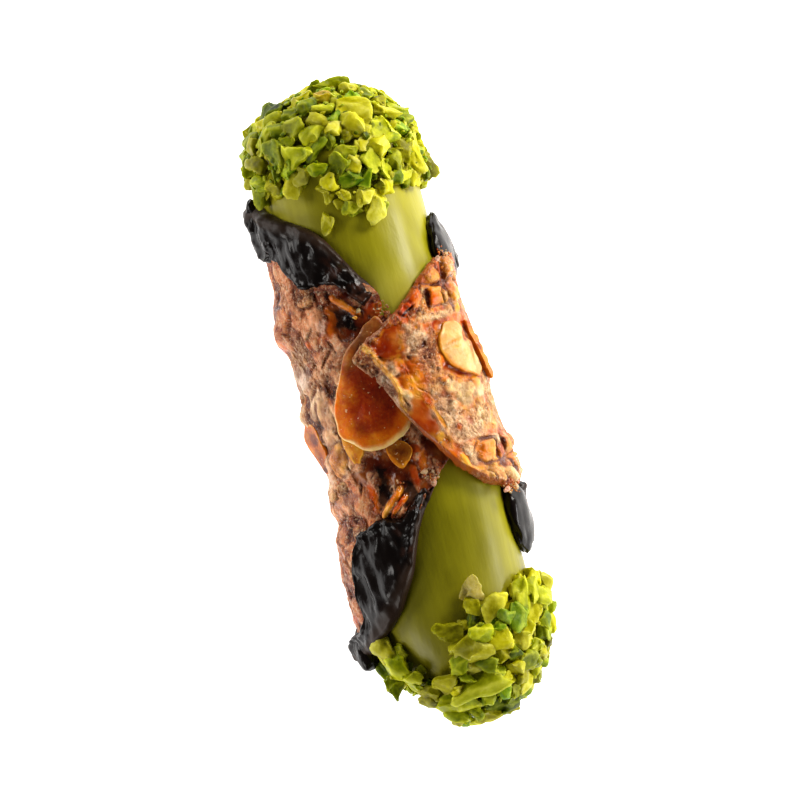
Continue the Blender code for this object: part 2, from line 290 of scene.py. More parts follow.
# Marks on the crust: x, y, half width, half length, lean of the length from Y towards X, kind, strength, height.
FLAP_MARKS = [
    (3.4, 5, 3, 5, -20, "glaze", 0.8, 0), (4.2, 3, 2, 2.4, 0, "amber", 0.8, 0.1),
    (1.6, 12.3, 2.5, 3, 10, "dark", 1.5, -0.1), (4.6, -3.6, 2, 4.1, -20, "dark", 1.4, -0.1),
    (1.9, 1.7, 0.8, 1.6, -35, "almond", 1, 0.2), (1.7, -0.7, 0.8, 1.1, -20, "tan", 0.9, 0.1),
    (0.9, 7.1, 1, 1.4, -10, "white", 1.1, 0.2), (2.9, 8.4, 0.9, 0.9, 0, "amber", 0.8, 0),
    (3.8, 10.2, 0.5, 2.2, 10, "glaze", 0.9, 0.1), (4.6, 13.4, 0.8, 1.8, 10, "glaze", 1, 0.2),
    (6.8, 11.2, 2.3, 2.4, 0, "white", 1.3, 0.15), (6, 14, 0.8, 1.1, 0, "white", 1.3, 0.35),
    (7.9, 14.4, 1.3, 1.3, 0, "pink", 1, 0.3), (7.4, 13.7, 0.35, 0.4, 0, "amber", 1.2, 0.2),
    (8.9, 7.4, 2.1, 3.2, 0, "rose", 1.1, -0.1), (9.2, 4.8, 2, 1.4, 0, "pink", 0.9, 0),
    (10.4, 11.4, 0.9, 1.8, 0, "rose", 0.9, -0.1), (9.3, 15.2, 1.3, 1, 30, "white", 1.2, 0),
    (10.4, 17.6, 0.9, 1.7, 10, "pink", 1.2, -0.2), (10.9, 20, 0.7, 1.3, 10, "white", 1.2, -0.1),
    (12.8, 14.8, 2.8, 0.7, -5, "white", 1.3, -0.1), (5.2, 17, 2.6, 0.8, 65, "glaze", 1.1, 0.1),
    (11.5, 13.2, 0.8, 1, 0, "dark", 1.1, -0.2), (11.1, 8, 0.5, 3.6, 0, "glaze", 1, -0.1),
    # The 'dark' mark at (12.9, 3.5) is painted shadow under the pale almond slice.
    (12.9, 3.5, 0.7, 2.9, -52, "dark", 1.3, -0.4), (8.4, 1.6, 2.2, 1.6, 0, "tan", 0.8, 0),
    (10.3, 2.3, 0.8, 0.5, 0, "glaze", 1, 0.2), (11.3, 0.5, 1.1, 1.2, -30, "flake", 1.4, 0.25),
    (14.3, -1.2, 2.5, 1.7, -10, "flake", 1.8, 0.45), (13.6, -2.8, 1.5, 1.2, 0, "flake", 1.2, 0.2),
    (16, 0.5, 0.7, 1.2, 10, "amber", 1.2, 0.35), (10.8, -2.6, 0.6, 0.6, 0, "tan", 1, 0.1),
    (15.6, -4.1, 1.8, 0.25, 60, "glaze", 1, -0.3), (9.4, -5, 2.5, 3.8, -10, "white", 1.2, 0),
    (12.4, -8.8, 2.8, 1.7, 0, "white", 1.2, 0.1), (11.4, -12.6, 1.1, 3, -12, "white", 1.2, 0.25),
    (15.8, -6.2, 1.9, 2.4, 0, "straw", 1.2, 0.1), (14, -5.4, 0.7, 1.4, 0, "pink", 0.9, 0),
    (10.5, -7.4, 0.45, 0.7, 0, "glaze", 1.1, 0.1), (17.7, -7.6, 0.6, 2.6, -5, "amber", 1, 0.1),
    (18.5, -3, 1, 6.4, 0, "tan", 1.3, 0), (4.4, -8.6, 0.9, 2.6, -38, "dark", 1.2, 0),
    (6.6, -8.3, 0.8, 0.9, 0, "amber", 1, 0.2), (7.4, -9.4, 0.5, 0.4, 0, "dark", 1.2, -0.3),
    (6.6, -11.6, 0.9, 2.4, -38, "glaze", 1.2, 0.1), (8.6, -13.2, 1.2, 3.2, -36, "glaze", 1.4, 0.1),
    (10.2, -14.8, 0.5, 1.7, -20, "amber", 1.2, 0.35), (8.2, -14.6, 0.6, 2.4, -38, "dark", 1.1, 0),
    (12, -16.8, 1.8, 0.9, -15, "amber", 1.1, 0.1), (16.8, -11.8, 1.3, 0.9, -10, "white", 1.2, 0.3),
    (16.8, -21, 2.6, 0.6, 10, "brown", 1, -0.1), (12.6, -18.4, 0.8, 1.4, -40, "tan", 0.9, 0.1),
    (16.4, 15.8, 0.5, 2, 5, "amber", 1.2, 0.3), (17.3, 14.4, 0.8, 1.8, 0, "pink", 1.1, 0.1),
    (13.6, 25, 2.2, 0.35, -62, "brown", 0.9, 0), (17.6, 26.2, 1.4, 0.5, 0, "pink", 1, 0.1),
    (17.6, 8, 0.9, 6, -8, "glaze", 1.5, 0.2), (14.6, 17.2, 1, 0.8, 0, "white", 0.9, 0.2),
    (6, -1, 0.6, 1.6, -20, "glaze", 1, 0.1), (7.4, -4.8, 0.4, 2.4, -15, "amber", 0.9, 0),
]
SHEET_MARKS = [
    (-17.1, 10.6, 1.5, 3.2, 5, "ash", 1.1, 0.1), (-15.6, 14.6, 1.9, 2.8, 20, "straw", 1.3, 0.15),
    (-12.2, 11, 2.6, 1.9, 30, "pale", 1.2, 0.1), (-13.4, 20.2, 1.6, 2.4, 30, "pale", 1.2, 0),
    (-10.1, 19, 0.8, 2.2, 20, "ash", 0.9, 0.1), (-11.4, 15.4, 1.6, 1.2, 0, "rose", 0.8, -0.1),
    (-14.1, 16.2, 0.9, 0.5, 0, "brown", 0.9, -0.2), (-13.9, 15.6, 0.55, 0.8, 0, "glaze", 1.3, 0.25),
    (-8.4, 20.2, 0.8, 3.6, -6, "glaze", 1.5, 0), (-9, 17, 0.7, 1.2, 0, "glaze", 1, 0),
    (-4.4, 15.8, 3.6, 1.5, 12, "brown", 1.4, -0.3), (-5.7, 19.2, 1.6, 3, -25, "burnt", 2.4, -1.1),
    (-2.4, 18.4, 1.6, 1.7, -40, "brown", 1.5, -0.3), (-5.4, 22.9, 2.4, 0.8, -30, "brown", 1.2, 0),
    (-9.6, 14.7, 1.1, 0.35, 70, "brown", 0.8, -0.3), (-11.3, 17.2, 0.9, 0.4, 60, "brown", 0.9, -0.2),
    (-17.4, 18.8, 0.4, 0.35, 30, "burnt", 1.1, -0.5), (-18.4, 21, 1.2, 3.6, 5, "rose", 1, 0.4),
    (-19, 17, 0.7, 1.5, 0, "glaze", 1.2, 0.4), (-16.6, 26.6, 0.9, 0.8, 0, "brown", 0.7, -0.2),
    (-15.4, 24, 0.8, 2.4, 15, "pale", 0.9, 0.1), (-16, 28.6, 1.6, 2, 10, "pink", 0.7, 0),
    (0.4, 19, 1.8, 1.5, -40, "dark", 1.3, 0.1), (1.6, 19.8, 0.8, 1, -40, "glaze", 1.1, 0.2),
    (-13.2, 2.4, 0.5, 3.2, 5, "glaze", 1, -0.1), (-14.1, -1.6, 1.1, 3.4, 0, "straw", 1.2, 0.1),
    (-14.3, 8.2, 1.3, 0.35, 70, "rose", 1, -0.2), (-12.9, 6.6, 0.25, 1.5, 0, "brown", 0.9, -0.4),
    (-12.4, 8, 1.2, 0.6, 0, "pale", 0.9, 0.2), (-16.2, 3, 1.2, 2.8, 0, "pink", 0.8, -0.1),
    (-16.6, -5.4, 0.6, 1.6, 0, "burnt", 2, -0.9), (-16.4, -1.6, 0.6, 1.8, 0, "rose", 1, -0.1),
    (-12.3, -10.2, 0.9, 0.22, 60, "burnt", 1.1, -0.5), (-16.9, -10.8, 0.9, 1.9, 0, "ash", 1.3, 0),
    (-12.7, -14.2, 0.4, 0.7, 0, "glaze", 1.2, 0.1), (-16.1, -15.3, 0.4, 0.6, 0, "brown", 1, -0.4),
    (-12.2, -12.3, 1.3, 1.4, 0, "rose", 1.1, 0), (-9.4, -10.2, 1.6, 1.4, 0, "rose", 1, 0.1),
    (-10.4, -12.2, 1.3, 1.5, 0, "brown", 1.1, 0), (-12, -17.2, 2, 2.4, 20, "pink", 1.1, 0.1),
    (-15.4, -17.6, 1.6, 2.2, 10, "pale", 1, 0), (-9.3, -16.4, 0.7, 2, 0, "glaze", 1.5, 0.1),
    (-9.8, -19.3, 0.9, 1.2, 0, "glaze", 1.3, 0), (-6, -10.4, 3, 2, 0, "brown", 1.4, -0.2),
    (-6.4, -13.8, 1.9, 2.6, 0, "burnt", 1.5, -0.6), (-6.8, -17, 1.4, 2.4, 30, "burnt", 2.2, -0.9),
    (-2.6, -13.6, 2.6, 4.4, 0, "brown", 1.6, -0.3), (-2.6, -17.6, 2.4, 2.6, 0, "burnt", 1.5, -0.4),
    (-8.2, -13.6, 0.9, 0.8, 0, "rose", 1, 0.2), (-1, -10.4, 1, 0.6, 30, "dark", 1.2, 0.1),
    (0.8, -9.4, 1.4, 1, 20, "dark", 1.3, 0.1), (1.9, -12.4, 1.2, 2.6, 10, "glaze", 1.4, 0.3),
    (-0.2, -15, 0.7, 2, 0, "dark", 1.1, 0.2), (3, -14.8, 1.2, 1.4, 0, "rose", 1.1, 0.1),
    # The 'brown' mark at (4.6, -10.6) is painted shadow under the upper flap.
    (1.4, -17.4, 1.6, 1, 30, "brown", 1, 0), (4.6, -10.6, 1.3, 3, -30, "brown", 1.3, -0.2),
    (-15.4, -24.6, 1.6, 1.8, 30, "pink", 0.9, 0.1), (-17.6, -22.6, 0.8, 2.4, 10, "rose", 1.1, 0),
    (-19.2, -39.4, 0.7, 1.2, 0, "glaze", 0.9, 0.2), (-18.4, -26.4, 0.5, 3, 0, "brown", 0.6, -0.3),
    (-18.2, -34, 0.5, 2, -20, "brown", 0.8, -0.4), (-19, -36.6, 0.9, 1.4, 0, "pale", 0.8, 0.2),
    (-18, -30, 1, 2.6, 0, "rose", 0.9, 0.1), (-14.2, 4.6, 0.3, 1.6, 20, "rose", 1, -0.3),
    (-15.2, 18.4, 0.3, 1, 40, "brown", 0.8, -0.3), (-14.8, -1, 1.6, 4.8, 6, "butter", 1.3, 0.4),
    (-14.8, 4.2, 1.7, 3, 20, "butter", 1.3, 0.4), (-14.4, -8.6, 1.5, 2.2, 0, "butter", 1.1, 0.4),
    (-16.4, -16.8, 1.5, 2, 15, "butter", 1.1, 0.4), (-12.6, -16, 1.9, 1.6, -20, "dough", 1.2, 0.4),
    (-13.6, 9.2, 1.7, 1.5, 30, "pale", 1.2, 0.3), (-11.4, 20.6, 1.5, 1.4, 10, "butter", 1, 0.3),
    (-15.8, 21.4, 1.3, 2.2, 25, "dough", 1, 0.2), (-13.2, 13.4, 1.7, 1, 35, "dough", 1, 0.25),
    (-11.6, -19.6, 1.6, 1.2, 20, "dough", 1, 0.3), (-17.8, -11.6, 0.8, 2, 0, "ash", 1, 0.1),
    (-9.8, 10.6, 1.2, 2, 25, "dough", 0.9, 0.2), (-16.2, -24.6, 1.6, 1.6, 0, "dough", 1, 0.3),
    (-18.6, 24.6, 1, 2.4, 0, "rose", 0.9, 0), (-13.4, 28.6, 2, 1.2, 0, "rose", 0.9, 0),
]
# Cracks, which are drawn last: x, y, half width, half length, lean, strength, height.
FLAP_CRACKS = [
    (8.1, 10.1, 0.55, 0.28, -50, 1.6, -0.4), (14.8, -10.9, 1.9, 0.3, 5, 1, -0.4),
    (17.6, -16.3, 0.7, 1.3, 25, 1.4, -0.6), (15.2, -15.9, 1.8, 0.3, 0, 1.2, -0.5),
    (12.2, 21.3, 2.4, 0.32, 20, 1.3, -0.5), (15.4, 22, 0.35, 3.4, 4, 1.4, -0.7), (14.2, 21, 0.26, 1.5, 85, 1.4, -0.5),
    (15.6, 17.4, 0.26, 2.2, 0, 1.5, -0.6), (10.4, 21.6, 0.24, 1.3, 15, 1.3, -0.4),
    (11.3, 18.6, 0.26, 1.8, 8, 1.2, -0.4), (17, -19.6, 0.26, 1.6, -10, 1.5, -0.7),
    (18.1, -12.6, 0.26, 2.4, -5, 1.5, -0.6), (19.1, -17.6, 0.24, 1.6, -10, 1.4, -0.5),
    (16.6, -13.6, 0.24, 1.6, 0, 1.3, -0.5), (14.3, -19.8, 0.22, 1.2, 40, 1.2, -0.4),
    (17.3, 6.4, 0.4, 5.4, -9, 1.3, -0.2), (12.8, -11.6, 0.24, 1.6, 30, 1, -0.3), (7, 17.4, 0.24, 1.5, 60, 1.1, -0.3),
]
SHEET_CRACKS = [
    (-12.3, 23, 1.3, 0.25, 0, 1.1, -0.3), (-10.4, 24.5, 0.22, 1.6, 0, 1.2, -0.4),
    (-16.3, 21.1, 0.38, 1.8, 30, 1.5, -0.9), (-17.8, 24.6, 1, 0.3, 0, 1, -0.3),
    (-12.1, -21.5, 0.3, 1.4, 0, 1.2, -0.4), (-16.3, 1.2, 0.24, 3, 14, 1.2, -0.5),
    (-12.9, -1.8, 0.24, 2.6, -4, 1, -0.4), (-11, 12.4, 0.22, 2.2, 35, 1, -0.4), (-14.8, 11, 0.2, 1.6, 50, 0.9, -0.3),
    (-17.2, 27, 0.24, 1.8, 20, 1.1, -0.4), (-14.4, -19.6, 0.24, 1.7, -60, 1.1, -0.4),
    (-11.2, -14.4, 0.2, 1.4, 10, 1, -0.4), (-17, -19.8, 0.26, 1.2, 60, 1.2, -0.5),
    (-13, 17.8, 0.2, 1.5, 40, 0.9, -0.3), (-15.4, 6.4, 0.22, 1.6, 30, 1.1, -0.4),
]
# Blocks that cracks set apart: x, y, half width, half length, lean, kind, height.
FLAP_BLOCKS = [
    (12.9, 23.4, 2.2, 1.5, 65, "peach", 0.5), (16.7, 23.6, 1, 2.2, 4, "peach", 0.6),
    (16.8, 18.9, 0.8, 2.2, 0, "amber", 0.6), (13.1, 19, 1.5, 1.9, 10, "amber", 0.6),
    (14.9, 18.5, 0.8, 1.2, 0, "almond", 0.5), (8.6, 19.2, 1.5, 1.9, 28, "glaze", 0.5),
    (6.2, 18, 1.2, 1.2, 40, "glaze", 0.3), (14.7, -13.4, 1.7, 1.8, 0, "amber", 0.6),
    (19, -13.4, 0.7, 2.4, -8, "amber", 0.7), (20.2, -12.6, 0.6, 2, 0, "peach", 0.4),
    (15.8, -18.5, 1.6, 1.7, 10, "peach", 0.6), (13.5, -18.2, 0.7, 1.2, -30, "peach", 0.3),
    (18.3, -19.2, 0.7, 1.8, -24, "almond", 0.6), (19.9, -18, 0.7, 2.9, -10, "peach", 0.6),
    (19.2, -16, 0.5, 0.9, 0, "amber", 0.3),
]
SHEET_BLOCKS = [
    (-12.4, 24.4, 1.5, 1.1, 0, "straw", 0.5), (-12.4, 26.6, 1.6, 1.1, -10, "tan", 0.45),
    (-9.2, 23.9, 1.1, 1.3, 0, "pink", 0.4), (-5.2, 21.6, 0.75, 3, -43, "amber", 0.9),
    (2.8, 17.6, 0.8, 0.9, 0, "peach", 0.5), (-14.1, -7.8, 1.3, 2.9, 0, "peach", 0.35),
    (-15.2, -13.4, 0.9, 0.9, 0, "straw", 0.4), (-6.2, -18.5, 0.75, 3.1, 46, "amber", 0.9),
    (-5, -19.6, 0.5, 2.3, 50, "glaze", 0.6), (-13.9, -22.5, 1.7, 1.1, 0, "tan", 0.5),
    (-10.4, -22, 1.2, 1.5, 0, "pink", 0.4), (-17.4, -14.4, 0.7, 1.3, 0, "straw", 0.4),
]


# Dark, middle and light tones of the crust, and of the crumb where its edge is torn.
PLAIN_CRUST = [(0.34, 0.068, 0.012), (0.72, 0.25, 0.085), (0.95, 0.54, 0.27)]
TOASTED_CRUST = [(0.38, 0.065, 0.002), (0.72, 0.21, 0.016), (0.92, 0.56, 0.22)]
GLAZED_CRUST = [(0.34, 0.04, 0.001), (0.60, 0.13, 0.004), (0.84, 0.32, 0.025)]
PALE_TEAR = [(0.44, 0.16, 0.07), (0.76, 0.40, 0.22), (0.90, 0.64, 0.42)]
DARK_TEAR = [(0.28, 0.05, 0.004), (0.50, 0.15, 0.03), (0.70, 0.34, 0.14)]
TORN_RIDGE = (0.92, 0.44, 0.05)


def leaning(x, y, half_width, half_length, lean):
    """The place within a leaning shape: 1 or -1 at its sides and at its ends."""
    s, c = math.sin(math.radians(lean)), math.cos(math.radians(lean))
    return (x * c - y * s) / half_width, (x * s + y * c) / half_length


def torn_edge(along, turn):
    """How far a place on the flap is inland from its torn edge, and how wide the tear is there."""
    inland = 0.52 * (along - spline(FOOT_RIM, turn))
    return inland, 3.0 * smooth(-3.0, 3.5, along - 0.51 * inland) * (turn < 40)


def paint_marks(turn, along, ragged, height, colour, gloss):
    """Add the marks, the blocks and the cracks of both sides to the crust's height, colour and gloss.

    Returns where each place is along X, laid on past the roll's widest so that marks keep to their own side.
    """
    beyond = np.where(turn < 180, np.maximum(turn - 90, 0), -np.maximum(270 - turn, 0))
    x = pastry_outside(turn, along) * np.sin(np.radians(turn - beyond)) + 0.33 * beyond
    for marks, blocks, cracks, where in (
        (FLAP_MARKS, FLAP_BLOCKS, FLAP_CRACKS, turn < 180),
        (SHEET_MARKS, SHEET_BLOCKS, SHEET_CRACKS, turn > 180),
    ):
        px, py, uneven = x[where], along[where], ragged[where]
        for row in marks + blocks + [(*crack[:5], "crack", *crack[5:]) for crack in cracks]:
            u, v = leaning(px - row[0], py - row[1], *row[2:5])
            hue, shine = KINDS[row[5]]
            if row in blocks:
                reach = (np.abs(u) ** 3 + np.abs(v) ** 3) ** (1 / 3) + 0.26 * uneven
                groove = smooth(0.95, 1.12, reach) * smooth(1.45, 1.12, reach) * np.clip(0.9 - 1.4 * uneven, 0, 1)
                cover = smooth(1.16, 0.9, reach)
                # Painted shade: each block is painted darker across one side, the side away from the key light.
                hue = mix(hue, np.array(hue) ** 1.7, np.clip(0.5 - 0.9 * u, 0, 1) * 0.6)
                colour[where] = mix(colour[where], KINDS["crack"][0], 0.9 * groove)
                height[where] += row[6] * smooth(1.2, 0.5, reach) - 0.3 * groove
            else:
                strength, rise = row[6:]
                reach = np.hypot(u, v)
                spans = (1.7, 0.2) if shine < 0.65 else (1.45, 0.6)
                cover = np.clip(strength * smooth(*spans, reach + 0.45 * uneven), 0, 1)
                height[where] += rise * np.exp(-(reach**2.5))
            colour[where] = mix(colour[where], hue, cover)
            gloss[where] += (shine - gloss[where]) * cover
    return x


def crust(turn, along):
    """Height of the crust's relief, its colour and its gloss, on the unrolled sheet."""
    turn, along = np.broadcast_arrays(turn, along)
    turn, along = turn.ravel().astype(float), along.ravel().astype(float)
    flat = unrolled(turn, along)
    warped = flat + 1.1 * np.stack([wave_noise(flat, 2.6, s) for s in (5, 6, 7)], -1)
    first, second, number = cell_noise(warped * (1.0, 0.86, 1.0), 4.1, 11)
    small_first, small_second, small_number = cell_noise(warped, 1.7, 31)
    tiny_first, _, tiny_number = cell_noise(warped * (1.0, 0.7, 1.0), 0.95, 37)
    crack = 1 - smooth(0.02, 0.20, second - first)
    fine_crack = 1 - smooth(0.02, 0.24, small_second - small_first)
    pit = smooth(0.46, 0.2, small_first) * (small_number > 0.78)
    pore = smooth(0.5, 0.2, tiny_first) * (tiny_number > 0.6)
    raised = smooth(0.0, 0.34, second - first)
    broad = rough_noise(flat, 9.0, 2, 41)
    grain = rough_noise(flat, 1.3, 3, 43)
    ragged = rough_noise(flat, 1.8, 3, 47)
    lumps = rough_noise(warped, 3.8, 2, 49)

    # The flap is toasted and largely glazed; the side at -X is paler, lumpy and sugared.
    flap = 1 - smooth(88, 100, turn)
    side = smooth(262, 282, turn)
    under = 1 - flap - side
    share = 0.72 * flap + 0.08 * side + 0.42 * under
    glazed = smooth(0.35, 0.65, share + 0.34 * broad + 0.22 * (number - 0.5) + 0.14 * ragged)
    crumb = 0.44 + 0.5 * broad + 0.5 * (number - 0.5) * raised + 0.25 * grain + (0.15 + 0.4 * side) * lumps
    warm = 0.5 + 0.4 * rough_noise(flat, 3.2, 3, 61) + 0.6 * (small_number - 0.5)
    colour = mix(ramp(PLAIN_CRUST, crumb + 0.06 * side), ramp(TOASTED_CRUST, crumb), flap)
    colour = mix(colour, ramp(GLAZED_CRUST, warm), glazed)
    gloss = 0.25 + 0.4 * glazed + 0.12 * flap + 0.3 * side * (1 - glazed)
    height = 0.26 * broad + 0.26 * (number - 0.45) * raised + (0.12 + 0.34 * side) * lumps

    x = paint_marks(turn, along, ragged, height, colour, gloss)
    tone = np.clip(0.9 - 0.55 * rough_noise(flat, 3.0, 3, 67), 0.5, 1.6) - 1
    colour = colour ** (1 + 0.8 * tone * smooth(0.5, 0.85, gloss))[:, None]

    # The flap's torn edge shows the crumb, behind a glazed ridge.
    inland, width = torn_edge(along, turn)
    torn = smooth(0.0, 0.5, width - inland - 0.3 * ragged) * (width > 0.2) * (inland > -2)
    ridge = bell(inland - width, 0.45, 0.5) * smooth(0.5, 1.6, width)
    darker = ramp(DARK_TEAR, 0.45 + 0.6 * grain)
    crumbs = mix(ramp(PALE_TEAR, 0.55 + 0.7 * grain), darker, smooth(4.5, 8.0, along - 0.5 * inland))
    colour = mix(mix(colour, crumbs, torn), TORN_RIDGE, np.clip(1.6 * ridge, 0, 1) * (1 - 0.3 * pore))
    gloss += (0.45 - gloss) * torn
    height += 0.7 * ridge - torn * (0.3 + 1.1 * np.clip(1 - inland / np.maximum(width, 0.3), 0, 1))

    # Cracks, pits and pores are deep where the crust is rough, and faint under the glaze.
    rough = 1 - smooth(0.55, 1.0, gloss)
    deep = 0.1 + 0.9 * rough
    crack = crack * smooth(-0.2, 0.5, rough_noise(flat, 7.0, 2, 53))
    fine_crack = fine_crack * smooth(-0.1, 0.5, rough_noise(flat, 4.0, 2, 57))
    height -= (0.26 * crack + 0.12 * fine_crack + 0.28 * pit + 0.16 * pore) * deep
    crumbly = 0.20 * grain + 0.12 * (small_number - 0.5) * (1 - fine_crack)
    height += crumbly * (0.15 + 0.85 * rough) * (1 - 0.4 * side)
    dark = (0.40 + 0.2 * side) * crack + (0.20 - 0.1 * side) * fine_crack + 0.5 * pit + 0.34 * pore
    shade = 1 - dark * deep
    # Painted shade: the hollows between the side's lumps are darkened.
    shade *= 1 - 0.6 * side * smooth(-0.1, -0.5, lumps) * rough
    shade *= 1 + (0.22 * grain + 0.3 * (tiny_number - 0.5)) * (0.2 + 0.8 * rough) * (1 - 0.5 * side)
    shade = np.clip(shade, 0.12, 1.6)
    colour = colour * np.stack([shade, shade**1.35, shade**1.55], -1)

    # Baking browned the side unevenly along its length, and the flap towards the head. The flap is also painted darker
    # towards +X: painted shade against the key light there.
    browned = mix((1.05, 0.90, 0.80), (0.96, 0.74, 0.66), smooth(-5, 10, along))
    browned = mix(browned, (0.80, 0.60, 0.52), smooth(-21, -28, along))
    browned = mix(browned, (1.04, 1.20, 1.24), bell(along, 2, 9))
    colour = mix(colour, colour * browned, side) * (1 - 0.22 * flap * smooth(10, 14, x))[:, None]
    colour = mix(colour, colour * (1.0, 0.88, 0.5), flap * smooth(13, 18, along))
    return height, np.clip(colour, 0, 0.96), np.clip(gloss - 0.2 * (pit + pore) * rough, 0, 1)


def covered(turn, along):
    """1 where the lower flap lies under the upper one."""
    over = turn - 360
    inside = (along > spline(FOOT_RIM, over) - 1) & (along < spline(HEAD_RIM, over) + 1)
    return np.where((over > -18) & inside, 1.0, 0.0)


def crust_rim(rim, inward, turn):
    """Where the crust ends; it stops short where chocolate caps it."""
    return spline(rim, turn) + inward * 1.1 * smooth(84, 100, turn) * (1 - smooth(356, 368, turn))


def dipped(turn, along):
    """How far a place lies inside the chocolate's skirts: 1 inside, 0 outside."""
    there = smooth(82, 92, turn) * (1 - smooth(364, 372, turn))
    head = smooth(0.5, -1.5, (spline(HEAD_RIM, turn) - along) - spline(HEAD_SKIRT, turn))
    foot = smooth(0.5, -1.5, (along - spline(FOOT_RIM, turn)) - spline(FOOT_SKIRT, turn))
    return there * np.maximum(head, foot)


def crust_radius(turn, along):
    """The crust's outer face with its relief, thinner where it is dipped."""
    shape = np.broadcast(turn, along).shape
    height, colour, gloss = crust(turn, along)
    height = height.reshape(shape)
    calm = (1 - 0.7 * covered(turn, along)) * (1 - 0.65 * dipped(turn, along))
    radius = pastry_outside(turn, along) + height * calm - 0.45 * dipped(turn, along)
    return above_table(radius, turn, 0.6 * dipped(turn, along)), colour, gloss


# ---------------------------------------------------------------- meshes


def make_piece(name, points, faces, look, replaced, colour, gloss=None, sharp=None):
    """A mesh of points in millimetres, with its colour and gloss per point, riding on the part."""
    mesh = bpy.data.meshes.new(name)
    mesh.from_pydata((np.asarray(points) * MM).tolist(), [], faces)
    mesh.validate()
    mesh.shade_smooth()
    if sharp:
        mesh.set_sharp_from_angle(angle=math.radians(sharp))
    paint = mesh.attributes.new("paint", "FLOAT_COLOR", "POINT")
    rgba = np.concatenate([np.clip(colour, 0, 1), np.ones((len(colour), 1))], 1)
    paint.data.foreach_set("color", rgba.astype(np.float32).ravel())
    if gloss is not None:
        mesh.attributes.new("gloss", "FLOAT", "POINT").data.foreach_set("value", gloss.astype(np.float32))
    mesh.materials.append(look)
    piece = bpy.data.objects.new(name, mesh)
    bpy.context.scene.collection.objects.link(piece)
    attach(piece, "root")
    if replaced:
        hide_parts(*replaced)
    return piece


def tube_faces(rings, count):
    """Quads between the rings of a tube, whose points run round a closed loop of the given count."""
    i, j = np.meshgrid(np.arange(rings - 1), np.arange(count), indexing="ij")
    here, next_ring, k = i * count, (i + 1) * count, (j + 1) % count
    return np.stack([here + j, here + k, next_ring + k, next_ring + j], -1).reshape(-1, 4)


def fan(ring, centre, flip):
    """Triangles that close one ring on a centre point."""
    k = np.roll(ring, -1)
    c = np.full_like(ring, centre)
    return np.stack([ring, c, k] if flip else [ring, k, c], -1)


def closed_tube(points):
    """Points and outward faces of rings (rings, count, 3) closed by a fan at each end."""
    rings, count = points.shape[:2]
    flat = points.reshape(-1, 3)
    ends = np.stack([points[0].mean(0), points[-1].mean(0)])
    quads = tube_faces(rings, count)
    first, last = np.arange(count), np.arange(count) + (rings - 1) * count
    caps = np.concatenate([fan(first, len(flat), True), fan(last, len(flat) + 1, False)])
    points = np.concatenate([flat, ends])
    return points, turned_outward(points, quads.tolist() + caps.tolist())


def turned_outward(points, faces):
    """The faces, all reversed if the closed mesh's volume comes out negative."""
    volume = 0.0
    for face in faces:
        a, b, c = points[face[0]], points[face[1]], points[face[2]]
        volume += np.dot(a, np.cross(b, c))
        if len(face) == 4:
            volume += np.dot(a, np.cross(c, points[face[3]]))
    return [tuple(f[::-1]) for f in faces] if volume < 0 else [tuple(f) for f in faces]


# ---------------------------------------------------------------- materials


class Look:
    """A Principled material, with short ways to add and join nodes."""

    def __init__(self, name, **numbers):
        self.material = bpy.data.materials.new(name)
        self.material.use_nodes = True
        self.tree = self.material.node_tree
        self.shader = self.tree.nodes["Principled BSDF"]
        self.place = self.add("ShaderNodeTexCoord").outputs["Object"]
        for socket, value in numbers.items():
            self.feed(self.shader, socket.replace("_", " "), value)

    def feed(self, node, socket, value):
        if isinstance(value, bpy.types.NodeSocket):
            self.tree.links.new(value, node.inputs[socket])
        else:
            node.inputs[socket].default_value = value

    def add(self, kind, inputs=None, **settings):
        node = self.tree.nodes.new(kind)
        for key, value in settings.items():
            setattr(node, key, value)
        for socket, value in (inputs or {}).items():
            self.feed(node, socket, value)
        return node

    def noise(self, size, detail=3.0, roughness=0.55, stretch=(1, 1, 1), lean=0.0):
        """Noise whose features have the given size in millimetres; stretch below 1 lengthens them along an axis."""
        scale, turn = tuple(1 / part for part in stretch), (0, 0, math.radians(lean))
        spread = self.add(
            "ShaderNodeMapping", {"Vector": self.place, "Scale": scale, "Rotation": turn}, vector_type="TEXTURE"
        )
        inputs = {"Vector": spread.outputs[0], "Scale": 1 / (size * MM), "Detail": detail, "Roughness": roughness}
        return self.add("ShaderNodeTexNoise", inputs).outputs["Fac"]

    def between(self, value, low, high, to_low=0.0, to_high=1.0):
        """The value, mapped from low..high to to_low..to_high and held there."""
        inputs = {"Value": value, "From Min": low, "From Max": high, "To Min": to_low, "To Max": to_high}
        return self.add("ShaderNodeMapRange", inputs).outputs[0]

    def sum(self, one, two, operation="ADD"):
        return self.add("ShaderNodeMath", {0: one, 1: two}, operation=operation).outputs[0]

    def times(self, one, two):
        return self.sum(one, two, "MULTIPLY")

    def gamma(self, colour, power):
        return self.add("ShaderNodeGamma", {"Color": colour, "Gamma": power}).outputs[0]

    def attribute(self, name, output):
        return self.add("ShaderNodeAttribute", attribute_name=name).outputs[output]

    def blend(self, share, one, two, kind="MIX"):
        node = self.add("ShaderNodeMix", data_type="RGBA", blend_type=kind)
        self.feed(node, 0, share)
        self.feed(node, 6, one)
        self.feed(node, 7, two)
        return node.outputs[2]

    def bump(self, height, depth, strength):
        """Relief of the given depth in millimetres."""
        node = self.add("ShaderNodeBump", {"Height": height, "Distance": depth * MM, "Strength": strength})
        self.feed(self.shader, "Normal", node.outputs[0])

    def paint(self, colour):
        self.feed(self.shader, "Base Color", colour)

    def rough(self, value):
        self.feed(self.shader, "Roughness", value)


PAINTED_GLINT_COLOUR = (0.92, 0.66, 0.42, 1)


